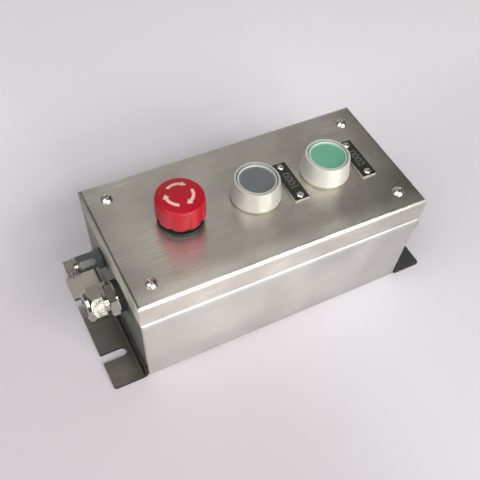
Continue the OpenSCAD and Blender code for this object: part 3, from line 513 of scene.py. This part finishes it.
def brushed_steel(name, pale, dark, roughness, marks, end_tint, scratched_by=0.5,
                  tint_sides=False, **shades):
    """Ground stainless. end_tint is a painted shade and tint on the ends,
    or with tint_sides on all upright faces.
    """
    finish, tree, shader = new_finish(name)
    point = look_at(tree)

    coarse = stretched_noise(tree, point["grain"], *COARSE_GRAIN, detail=2.0)
    fine = stretched_noise(tree, point["grain"], *FINE_GRAIN)
    streaks = add(tree, "ShaderNodeMix", {FACTOR: 0.5, NUMBER_A: coarse, NUMBER_B: fine})
    streak_tone = add(tree, "ShaderNodeMapRange", {
        "Value": streaks, "From Min": NOISE_LOW, "From Max": NOISE_HIGH})
    streaked = add(tree, "ShaderNodeMix", {
        FACTOR: streak_tone, COLOUR_A: linear(dark), COLOUR_B: linear(pale)}, data_type="RGBA")
    tinted = add(tree, "ShaderNodeMix", {
        FACTOR: point["is_upright" if tint_sides else "is_end"],
        COLOUR_A: streaked.outputs[COLOUR], COLOUR_B: linear(end_tint)},
        data_type="RGBA", blend_type="MULTIPLY")

    clouds, scratches = handling_marks(tree, point, marks, scratched_by)
    shade = shade_by_place(tree, point, **shades)
    shade = add(
        tree, "ShaderNodeMath", {0: shade, 1: clouds, 2: scratches}, operation="MULTIPLY_ADD")
    colour = add(tree, "ShaderNodeMix", {
        FACTOR: 1.0, COLOUR_A: tinted.outputs[COLOUR], COLOUR_B: shade},
        data_type="RGBA", blend_type="MULTIPLY")

    smudge = add(tree, "ShaderNodeTexNoise", {
        "Vector": point["place"], "Scale": SMUDGES_PER_METRE, "Detail": 3.0})
    gloss = add(tree, "ShaderNodeMapRange", {
        "Value": smudge, "From Min": NOISE_LOW, "From Max": NOISE_HIGH,
        "To Min": roughness - CLEANER * marks, "To Max": roughness + DULLER * marks})
    gloss = add(
        tree, "ShaderNodeMath", {0: point["is_end"], 1: END_ROUGHER, 2: gloss},
        operation="MULTIPLY_ADD")

    relief = add(tree, "ShaderNodeBump", {
        "Strength": GRAIN_STRENGTH, "Distance": GRAIN_HEIGHT, "Height": streaks})
    dents = add(tree, "ShaderNodeTexNoise", {
        "Vector": point["place"], "Scale": 1 / DENT, "Detail": 1.0})
    uneven = add(tree, "ShaderNodeBump", {
        "Strength": 1.0, "Distance": DENT_DEPTH, "Height": dents, "Normal": relief})
    smear = add(tree, "ShaderNodeCombineXYZ", dict(enumerate(SMEAR)))
    join(tree, shader, {
        "Base Color": colour.outputs[COLOUR], "Roughness": gloss, "Normal": uneven,
        "Tangent": smear, "Anisotropic": 0.75, "Metallic": 1.0})
    return finish


print("steel recipe ready")

# %% [markdown]
# ## Ground stainless sheet: lid, body and feet
#
# All these pieces are the same metal, but they look different in the photograph,
# since they face different parts of the room and are handled differently. One
# recipe with other numbers shows that better than three recipes would.

# %% Steels
# Belt ground and handled most: a warm satin grey with clouds and scratches.
# Painted light and shade: greenish ends, darker rims, a brighter front edge, fading sides.
lid_steel = brushed_steel(
    "brushed stainless lid", pale="#e8e3db", dark="#dcd7ce", roughness=0.32, marks=0.85,
    scratched_by=0.85, end_tint="#d2d8cf", rim_shade=0.8, glow=(-34, -48, 1.5),
    fade=(1.18, 0.81), end_fade=(1.8, 0.55))
# Belt ground, seldom touched: duller and more even. Painted shade makes its ends
# greenish grey and its foot darker, and a painted highlight lightens the strip below the lid.
wall_steel = brushed_steel(
    "ground stainless body", pale="#cfcdc9", dark="#c5c2be", roughness=0.38, marks=0.5,
    scratched_by=0.25, end_tint="#9ba199", low_shade=0.86, end_low=0.72,
    fade=(1.12, 0.93), end_fade=(1.2, 1.2), under_lip=1.3)
# Folded strips low in the box's shade, painted dark, with painted shade darker still
# on their edges, and a painted reflection at the back, where the table behind the box is
# mirrored.
foot_look = {"roughness": 0.36, "marks": 0.8, "end_tint": "#6a6a68", "tint_sides": True}
foot_steel = brushed_steel(
    "brushed stainless feet", pale="#8b8781", dark="#7e7a74", glow=(2, 40, 3.2), **foot_look)
# The right foot lies in the open, so it is a lit copy of the feet's steel, painted
# lighter and a little blue, with a weaker painted reflection at the back.
right_foot_steel = brushed_steel(
    "brushed stainless right foot", pale="#9e9da0", dark="#919094", glow=(2, 40, 2.4),
    **foot_look)
print("steels:", [m.name for m in (lid_steel, wall_steel, foot_steel, right_foot_steel)])

# %% [markdown]
# ## Turned and plated metal
#
# The gland is turned brass with nickel on it, and the screws are polished steel.
# Plating copies the metal below it, so it mirrors sharply but not flatly. A mirror
# with a slow wave in its surface breaks each facet's picture of the window into
# bright and dark patches, which a plain glossy metal would not do.

# %% Plated metal recipe
PLATING_DARKEST = 0.88  # share of the light that the darkest spots keep


def plated_metal(name, colour, roughness, unevenness=0.05, spot_mm=3.0, metallic=1.0,
                 wave_mm=0.005):
    """Smooth metal with spots of other gloss and tone, and waves wave_mm high."""
    finish, tree, shader = new_finish(name)
    place = add(tree, "ShaderNodeTexCoord").outputs["Object"]
    spots = add(tree, "ShaderNodeTexNoise", {
        "Vector": place, "Scale": 1 / (spot_mm * MM), "Detail": 4.0})
    waves = add(tree, "ShaderNodeTexNoise", {
        "Vector": place, "Scale": 1 / (spot_mm * MM), "Detail": 0.0})
    tone = add(tree, "ShaderNodeMix", {
        FACTOR: spots, COLOUR_A: linear(colour), COLOUR_B: linear(colour, PLATING_DARKEST)},
        data_type="RGBA")
    gloss = add(tree, "ShaderNodeMapRange", {
        "Value": spots, "From Min": NOISE_LOW, "From Max": NOISE_HIGH,
        "To Min": roughness - unevenness, "To Max": roughness + unevenness})
    relief = add(tree, "ShaderNodeBump", {
        "Strength": 1.0, "Distance": wave_mm * MM, "Height": waves})
    join(tree, shader, {
        "Base Color": tone.outputs[COLOUR], "Roughness": gloss, "Normal": relief,
        "Metallic": metallic})
    return finish


# Bright nickel on turned brass: sharp, wavy mirror images in warm grey.
nickel = plated_metal("nickel plated brass", "#bab6ad", 0.14, spot_mm=4.0, wave_mm=0.035)
# Polished pan heads: small bright glints with soft edges.
bright_screw = plated_metal("polished screw steel", "#e2dfd9", 0.27, spot_mm=1.0)
# Zinc over steel wire and turned nuts, for what is inside: dull and grey.
zinc_steel = plated_metal("zinc plated steel", "#a9a9a8", 0.34)
# Bare turned brass, for the earth nuts: warm yellow.
brass = plated_metal("plain brass", "#c9a64a", 0.28)
# Rolled copper strip, for the contacts: reddish and satin.
copper = plated_metal("plain copper alloy", "#c98a4b", 0.3)
print("plated:", [m.name for m in (nickel, bright_screw, zinc_steel, brass, copper)])

# %% [markdown]
# ## Bezels
#
# The bezels are moulded and have a satin silver coat: bright, but too rough to
# mirror anything sharply. A thin sealing step shows as a yellowish line at their
# foot. It could be a piece of its own, but the bezel's solid has the step already,
# so only the colour changes there, with height.

# %% Bezel recipe
STEP_HEIGHT = 1.1 * MM
lid_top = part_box("lid")[1].z
step_top = lid_top + STEP_HEIGHT


def satin_bezel(name, silver, step_colour):
    """Satin silver above the sealing step and the seal's colour below it."""
    finish = plated_metal(name, silver, 0.34, unevenness=0.03, spot_mm=5.0, metallic=0.2)
    tree = finish.node_tree
    shader = tree.nodes["Principled BSDF"]
    silvered = shader.inputs["Base Color"].links[0].from_socket
    place = add(tree, "ShaderNodeTexCoord").outputs["Object"]
    height = add(tree, "ShaderNodeSeparateXYZ", {0: place}).outputs["Z"]
    above = add(tree, "ShaderNodeMath", {0: height, 1: step_top}, operation="GREATER_THAN")
    colour = add(tree, "ShaderNodeMix", {
        FACTOR: above, COLOUR_A: linear(step_colour), COLOUR_B: silvered}, data_type="RGBA")
    join(tree, shader, {"Base Color": colour.outputs[COLOUR]})
    return finish


# Satin silver coat on plastic: nearly white, with a broad soft highlight.
satin_silver = satin_bezel("satin silver bezel", "#dddbd2", "#aeac90")
# The grey button's bezel stands in the red head's shade, so it is a little greyer.
shaded_silver = satin_bezel("satin silver bezel, greyer", "#cfcdc4", "#a3a187")
print("bezel step up to", round(step_top / MM, 1), "mm")

# %% [markdown]
# ## Moulded plastics and rubber
#
# Injection moulded plastic copies the steel mould. A polished mould gives the red
# head and the caps their gloss, and a spark eroded one the fine grit of collar and
# plug. The grit is some hundredths of a millimetre deep. Displacement could give
# it real depth, but bump looks the same at that size and is quick.

# %% Moulded plastic recipe
PATCH = 14 * MM  # gloss and tone change over this distance
PLASTIC_DARKEST = 0.92  # share of the light that the darkest patches keep
GLOSS_LOW, GLOSS_HIGH = 0.85, 1.15  # factors for the roughness
GRIT_HEIGHT = 0.03 * MM


def moulded(name, colour, roughness, grit_mm, grit_depth=0.3, coat=0.0, ior=1.5):
    """Moulded plastic with a fine surface grit and slightly uneven colour."""
    finish, tree, shader = new_finish(name)
    place = add(tree, "ShaderNodeTexCoord").outputs["Object"]
    grit = add(tree, "ShaderNodeTexNoise", {
        "Vector": place, "Scale": 1 / (grit_mm * MM), "Detail": 2.0})
    patches = add(tree, "ShaderNodeTexNoise", {
        "Vector": place, "Scale": 1 / PATCH, "Detail": 3.0})
    tone = add(tree, "ShaderNodeMix", {
        FACTOR: patches, COLOUR_A: linear(colour), COLOUR_B: linear(colour, PLASTIC_DARKEST)},
        data_type="RGBA")
    gloss = add(tree, "ShaderNodeMapRange", {
        "Value": patches, "From Min": NOISE_LOW, "From Max": NOISE_HIGH,
        "To Min": roughness * GLOSS_LOW, "To Max": roughness * GLOSS_HIGH})
    relief = add(tree, "ShaderNodeBump", {
        "Strength": grit_depth, "Distance": GRIT_HEIGHT, "Height": grit})
    join(tree, shader, {
        "Base Color": tone.outputs[COLOUR], "Roughness": gloss, "Normal": relief,
        "IOR": ior, "Coat Weight": coat})
    return finish


# ABS from a polished mould: clear red with a soft highlight on its edges.
red_plastic = moulded("glossy red ABS", "#b50f26", 0.36, 0.6, ior=1.45)
# Glass filled polyamide from an eroded mould: dark grey, never a sharp highlight.
black_plastic = moulded("black polyamide", "#2a2c2a", 0.5, 0.5, ior=1.38)
# The plug's is smoother, so each facet shows its own tone.
plug_plastic = moulded("black moulded plug", "#515453", 0.26, 0.4)
# Inside: milky stems, pale contact blocks and dark holders, all satin.
natural_plastic = moulded("natural polyacetal", "#e8e4d8", 0.4, 0.4)
block_plastic = moulded("light polycarbonate block", "#ece8dc", 0.4, 0.4)
holder_plastic = moulded("dark polyamide holder", "#3b3b3d", 0.45, 0.4)
# Cut or pressed rubber: matt, so it reads as a dark line between bright metals.
rubber = moulded("black sealing rubber", "#1d1d1d", 0.7, 0.3, 0.5)
print("plastics:", [m.name for m in (red_plastic, black_plastic, plug_plastic, rubber)])

# %% [markdown]
# ## Caps and light rings
#
# The caps are acrylic discs that look deeper in the middle, because light leaks
# in at their edge. The light ring round each is a bright bead beside a dark
# groove. Clear plastic over a lamp could be traced for real, but it is slow and
# noisy. Both looks depend only on the distance from the button's axis, so the
# colour follows that.

# %% Ringed plastic recipe
def ringed(name, inner, outer, edge_mm, axis, roughness, coat=0.0):
    """Plastic that changes from inner to outer over the two radii edge_mm from an axis."""
    finish = moulded(name, inner, roughness, 2.0, 0.1, coat=coat)
    tree = finish.node_tree
    shader = tree.nodes["Principled BSDF"]
    plain = shader.inputs["Base Color"].links[0].from_socket
    place = add(tree, "ShaderNodeTexCoord").outputs["Object"]
    from_axis = add(tree, "ShaderNodeVectorMath", {0: place, 1: axis}, operation="SUBTRACT")
    flat = add(tree, "ShaderNodeVectorMath", {0: from_axis, 1: (1, 1, 0)}, operation="MULTIPLY")
    radius = add(tree, "ShaderNodeVectorMath", {0: flat}, operation="LENGTH")
    outside = add(tree, "ShaderNodeMapRange", {
        "Value": radius.outputs["Value"],
        "From Min": edge_mm[0] * MM, "From Max": edge_mm[1] * MM},
        interpolation_type="SMOOTHSTEP")
    colour = add(tree, "ShaderNodeMix", {
        FACTOR: outside, COLOUR_A: plain, COLOUR_B: linear(outer)}, data_type="RGBA")
    join(tree, shader, {"Base Color": colour.outputs[COLOUR]})
    return finish


print("ringed plastic recipe ready")

# %% [markdown]
# ## Grey and green
#
# The two buttons are the same parts in two colours. Fixed centres for the rings
# would be shorter to write, but each axis is taken from the middle of its bezel,
# so the rings stay round when a button is moved.

# %% Button colours
LENS_EDGE = (10.2, 11.4)  # mm, where the cap turns pale
GROOVE_EDGE = (12.7, 12.85)  # mm, where the bead ends
button_colours = {
    "grey": {"deep": "#616a6c", "edge": "#7d8685", "bead": "#c5cac6", "groove": "#565955"},
    "green": {"deep": "#6ab094", "edge": "#83bea4", "bead": "#c0d6c9", "groove": "#8b918b"},
}
button_plastics = {}
for button, hue in button_colours.items():
    low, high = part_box(button + "_bezel")
    axis = ((low.x + high.x) / 2, (low.y + high.y) / 2, 0)
    # Polished acrylic: a clear coat mirrors the room sharply over the coloured disc.
    button_plastics[button + "_cap"] = ringed(
        button + " acrylic lens", hue["deep"], hue["edge"], LENS_EDGE, axis, 0.1, coat=1.0)
    # Milky acrylic: it catches light in the bead and loses it in the groove.
    button_plastics[button + "_light_ring"] = ringed(
        button + " light ring", hue["bead"], hue["groove"], GROOVE_EDGE, axis, 0.25)
print("buttons:", list(button_plastics))

# %% [markdown]
# ## Label plates
#
# The plates are engraving laminate: a thin black face on a pale core. Their cut
# edges show the core as a thin pale line. Two solids would double the parts, and
# the colour changes with height only, so one material gives both layers.

# %% Laminate recipe
FACE = 0.3 * MM  # thickness of the black layer
FACE_GRIT = 0.7 * MM
plate_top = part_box("grey_label")[1].z


def laminate(name, face, core):
    """The face's colour in the top layer of a plate, and the core's below it."""
    finish, tree, shader = new_finish(name)
    place = add(tree, "ShaderNodeTexCoord").outputs["Object"]
    height = add(tree, "ShaderNodeSeparateXYZ", {0: place}).outputs["Z"]
    is_face = add(
        tree, "ShaderNodeMath", {0: height, 1: plate_top - FACE}, operation="GREATER_THAN")
    colour = add(tree, "ShaderNodeMix", {
        FACTOR: is_face, COLOUR_A: linear(core), COLOUR_B: linear(face)}, data_type="RGBA")
    grit = add(tree, "ShaderNodeTexNoise", {
        "Vector": place, "Scale": 1 / FACE_GRIT, "Detail": 2.0})
    relief = add(tree, "ShaderNodeBump", {
        "Strength": 0.3, "Distance": GRIT_HEIGHT, "Height": grit})
    join(tree, shader, {
        "Base Color": colour.outputs[COLOUR], "Normal": relief, "Roughness": 0.42})
    return finish


# Pressed laminate, satin on top and sawn at its edges: black with a pale outline.
label_laminate = laminate("engraving laminate", face="#2b2b27", core="#b5b1a8")
print("label face at", round(plate_top / MM, 2), "mm")

# %% [markdown]
# ## Dress the solids
#
# Every solid gets its finish by name. The parts of the three operators repeat, so
# most of those go by the ending of their names, and what is left is zinc plated
# steel. A table is easier to check against the photograph than a chain of ifs.

# %% Dress the solids
finish_by_name = {
    "lid": lid_steel, "enclosure_body": wall_steel, "drip_lip": wall_steel,
    "left_foot": foot_steel, "right_foot": right_foot_steel,
    "lid_screws": bright_screw, "label_screws": bright_screw,
    "gland_body": nickel, "gland_nut": nickel, "gland_locknut": nickel,
    "plug_end_ring": nickel, "plug_clamp": nickel,
    "plug_panel_nut": plug_plastic, "plug_socket": plug_plastic, "plug_barrel": plug_plastic,
    "estop_head": red_plastic, "estop_collar": black_plastic, "grey_bezel": shaded_silver,
    "grey_label": label_laminate, "green_label": label_laminate,
    "earth_nuts": brass, "fixed_contacts": copper, **button_plastics,
}
finish_by_ending = {
    "_bezel": satin_silver, "_stem": natural_plastic, "_contact_block": block_plastic,
    "_holder": holder_plastic, "_moving_contact": copper, "_washer": rubber, "_seal": rubber,
}


def finish_of(node):
    """The finish of a solid, by its name or else by its name's ending."""
    endings = (finish for ending, finish in finish_by_ending.items() if node.endswith(ending))
    return finish_by_name.get(node) or next(endings, zinc_steel)


for node, solid in nodes.items():
    solid.data.materials.clear()
    solid.data.materials.append(finish_of(node))
print("dressed", len(nodes), "solids in", len({finish_of(node) for node in nodes}), "finishes")

# %% [markdown]
# ## Springs
#
# A coil spring sits under each button. Its lower end stays on the holder and its
# upper end goes down with the button. A rigid solid can't do that. A copy of it
# stands in here, fixed to the enclosure, with a mesh of its own, and the original is hidden.

# %% Springs
spring_joints = {
    "grey_spring": "grey_press", "green_spring": "green_press", "estop_spring": "estop_push"}
for spring, joint_name in spring_joints.items():
    low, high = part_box(spring)
    coil = bpy.data.objects.new(spring + "_coil", nodes[spring].data.copy())
    scene.collection.objects.link(coil)
    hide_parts(spring)
    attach(coil, "enclosure")
    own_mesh(coil)

# %% [markdown]
# ## The arrow on the red head
#
# Three pale arrows are printed on the head and show that it is turned clockwise
# to release it. An arrow could be drawn as a curve, but it would lie flat on a
# domed head. Here a grid of narrow cells is bent round the centre and let down
# along the dome. Its width is constant along the tail and runs to a point at the
# head.

# %% Bent arrow
POINTS_ALONG, POINTS_ACROSS = 50, 5
TIP_WIDTH = 0.05 * MM  # not quite nothing, so no face there loses its area
# The ink's real thickness is 0.02 mm. At 0.08 mm it stays clear of the red below it.
arrow_sizes = {
    "Radius": 8.4 * MM, "Tail width": 1.95 * MM, "Head width": 4.3 * MM, "Head share": 0.24,
    "Sweep": math.radians(88), "Dome radius": 59.5 * MM, "Thickness": 0.08 * MM}


def bent_arrow(tree, given):
    """One arrow that runs clockwise round the origin and follows the dome."""
    grid = add(tree, "GeometryNodeMeshGrid", {
        "Size X": 1.0, "Size Y": 1.0, "Vertices X": POINTS_ALONG, "Vertices Y": POINTS_ACROSS})
    cell = add(tree, "ShaderNodeSeparateXYZ", {
        0: add(tree, "GeometryNodeInputPosition")}).outputs
    along = add(tree, "ShaderNodeMath", {0: cell["X"], 1: 0.5}, operation="ADD")
    neck = add(tree, "ShaderNodeMath", {0: 1.0, 1: given["Head share"]}, operation="SUBTRACT")
    to_tip = add(tree, "ShaderNodeMapRange", {
        "Value": along, "From Min": neck, "From Max": 1.0,
        "To Min": given["Head width"], "To Max": TIP_WIDTH})
    in_head = add(tree, "ShaderNodeMath", {0: along, 1: neck}, operation="GREATER_THAN")
    width = add(tree, "ShaderNodeMix", {
        FACTOR: in_head, NUMBER_A: given["Tail width"], NUMBER_B: to_tip})
    offset = add(tree, "ShaderNodeMath", {0: cell["Y"], 1: width}, operation="MULTIPLY")
    radius = add(tree, "ShaderNodeMath", {0: given["Radius"], 1: offset}, operation="ADD")

    turn = add(tree, "ShaderNodeMath", {0: along, 1: given["Sweep"]}, operation="MULTIPLY")
    turn = add(tree, "ShaderNodeMath", {0: turn, 1: -1.0}, operation="MULTIPLY")
    east = add(tree, "ShaderNodeMath", {0: turn}, operation="COSINE")
    north = add(tree, "ShaderNodeMath", {0: turn}, operation="SINE")
    x = add(tree, "ShaderNodeMath", {0: east, 1: radius}, operation="MULTIPLY")
    y = add(tree, "ShaderNodeMath", {0: north, 1: radius}, operation="MULTIPLY")

    # A dome falls off by the radius squared over twice its own radius.
    squared = add(tree, "ShaderNodeMath", {0: radius, 1: radius}, operation="MULTIPLY")
    twice = add(
        tree, "ShaderNodeMath", {0: given["Dome radius"], 1: -2.0}, operation="MULTIPLY")
    z = add(tree, "ShaderNodeMath", {0: squared, 1: twice}, operation="DIVIDE")
    bent = add(tree, "ShaderNodeCombineXYZ", {0: x, 1: y, 2: z})
    arrow = add(tree, "GeometryNodeSetPosition", {
        "Geometry": grid.outputs["Mesh"], "Position": bent})
    return add(tree, "GeometryNodeExtrudeMesh", {
        "Mesh": arrow, "Offset Scale": given["Thickness"], "Individual": False})


print("arrow of", len(arrow_sizes), "sizes, on", POINTS_ALONG * POINTS_ACROSS, "points")

# %% [markdown]
# ## Three arrows in a ring
#
# The arrows are the same shape three times, so Geometry Nodes make one arrow and
# repeat it round the centre. Its sizes are inputs of the tree, which can be tried
# out in the modifier panel. Export drops instances, so they are made real, and the
# tree's result is kept as a plain mesh in its place.

# %% Arrow ring tree
def arrow_ring_tree():
    """Geometry Nodes for a ring of bent arrows, with named sizes."""
    tree = bpy.data.node_groups.new("arrow ring", "GeometryNodeTree")
    face = tree.interface
    for label, size in arrow_sizes.items():
        face.new_socket(
            label, in_out="INPUT", socket_type="NodeSocketFloat").default_value = size
    face.new_socket("Count", in_out="INPUT", socket_type="NodeSocketInt").default_value = 3
    face.new_socket("Print", in_out="INPUT", socket_type="NodeSocketMaterial")
    face.new_socket("Geometry", in_out="OUTPUT", socket_type="NodeSocketGeometry")
    given = add(tree, "NodeGroupInput").outputs

    arrow = bent_arrow(tree, given)
    points = add(tree, "GeometryNodePoints", {"Count": given["Count"]})
    number = add(tree, "GeometryNodeInputIndex")
    part = add(tree, "ShaderNodeMath", {0: number, 1: given["Count"]}, operation="DIVIDE")
    angle = add(tree, "ShaderNodeMath", {0: part, 1: 2 * math.pi}, operation="MULTIPLY")
    heading = add(tree, "ShaderNodeCombineXYZ", {2: angle})
    copies = add(tree, "GeometryNodeInstanceOnPoints", {
        "Points": points, "Instance": arrow, "Rotation": heading})
    real = add(tree, "GeometryNodeRealizeInstances", {0: copies})
    inked = add(tree, "GeometryNodeSetMaterial", {
        "Geometry": real, "Material": given["Print"]})
    add(tree, "NodeGroupOutput", {0: inked})
    return tree


def bake(name, tree, values, place, turn=0.0):
    """Runs a Geometry Nodes tree and keeps its result as a plain mesh at place."""
    carrier = bpy.data.objects.new(name + " carrier", bpy.data.meshes.new(name + " carrier"))
    scene.collection.objects.link(carrier)
    modifier = carrier.modifiers.new("nodes", "NODES")
    modifier.node_group = tree
    sockets = {item.name: item.identifier
               for item in tree.interface.items_tree if item.in_out == "INPUT"}
    for label, value in values.items():
        modifier[sockets[label]] = value
    evaluated = carrier.evaluated_get(bpy.context.evaluated_depsgraph_get())
    result = bpy.data.meshes.new_from_object(evaluated)
    bpy.data.objects.remove(carrier)
    result.transform(Matrix.Translation(place) @ Matrix.Rotation(turn, 4, "Z"))
    piece = bpy.data.objects.new(name, result)
    scene.collection.objects.link(piece)
    return piece


print("arrow ring recipe ready")

# %% [markdown]
# ## Pad printed ink
#
# A soft pad presses the ink onto the finished head. It could be a patch of colour
# in the head's own material, but a thin solid has a sharp outline from close by,
# and it can be moved or left out by itself. It turns with the head.

# %% Print the arrows
FIRST_ARROW = math.radians(126)
PRINT_SHIFT = -0.3 * MM  # the print isn't quite centred on the head
head_low, head_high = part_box("estop_head")
head_centre = Vector((
    (head_low.x + head_high.x) / 2 + PRINT_SHIFT, (head_low.y + head_high.y) / 2, head_high.z))
# Pad printed ink: thin and matt, so the red shows through and tints it.
pale_print = moulded("pale pad print", "#e9c4b8", 0.5, 0.5)
arrows = bake("turn_arrows", arrow_ring_tree(), {"Print": pale_print}, head_centre, FIRST_ARROW)
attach(arrows, "estop_knob")
print("arrows:", len(arrows.data.polygons), "faces at", [round(v / MM, 1) for v in head_centre])

# %% [markdown]
# ## Numbers on the label plates
#
# Each plate carries a plain number, engraved and inked so faintly that it hardly
# shows. It reads along the plate. Blender's text object has all digits built in,
# so it is given a hair's thickness and made a mesh, which is then laid on the
# plate.

# %% Plate numbers
INK = 0.02 * MM  # half the ink's thickness
ALONG_PLATE = math.radians(-90)
# Ink wiped into an engraved line: a grey that is only just lighter than the plate.
plate_ink = moulded("engraved plate ink", "#62625c", 0.3, 0.4)
for plate, digits in (("grey_label", "0001"), ("green_label", "0002")):
    low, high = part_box(plate)
    words = bpy.data.curves.new(plate + " digits", "FONT")
    words.body = digits
    words.size = 7.6 * MM
    words.offset = 0.12 * MM
    words.align_x = words.align_y = "CENTER"
    words.extrude = INK
    shape = bpy.data.objects.new(plate + " digits", words)
    scene.collection.objects.link(shape)
    evaluated = shape.evaluated_get(bpy.context.evaluated_depsgraph_get())
    drawn = bpy.data.meshes.new_from_object(evaluated)
    bpy.data.objects.remove(shape)
    middle = Vector(((low.x + high.x) / 2, (low.y + high.y) / 2, plate_top + INK))
    drawn.transform(Matrix.Translation(middle) @ Matrix.Rotation(ALONG_PLATE, 4, "Z"))
    piece = bpy.data.objects.new(plate + "_digits", drawn)
    scene.collection.objects.link(piece)
    drawn.materials.append(plate_ink)
    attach(piece, "enclosure")
    print(piece.name, len(drawn.polygons), "faces")
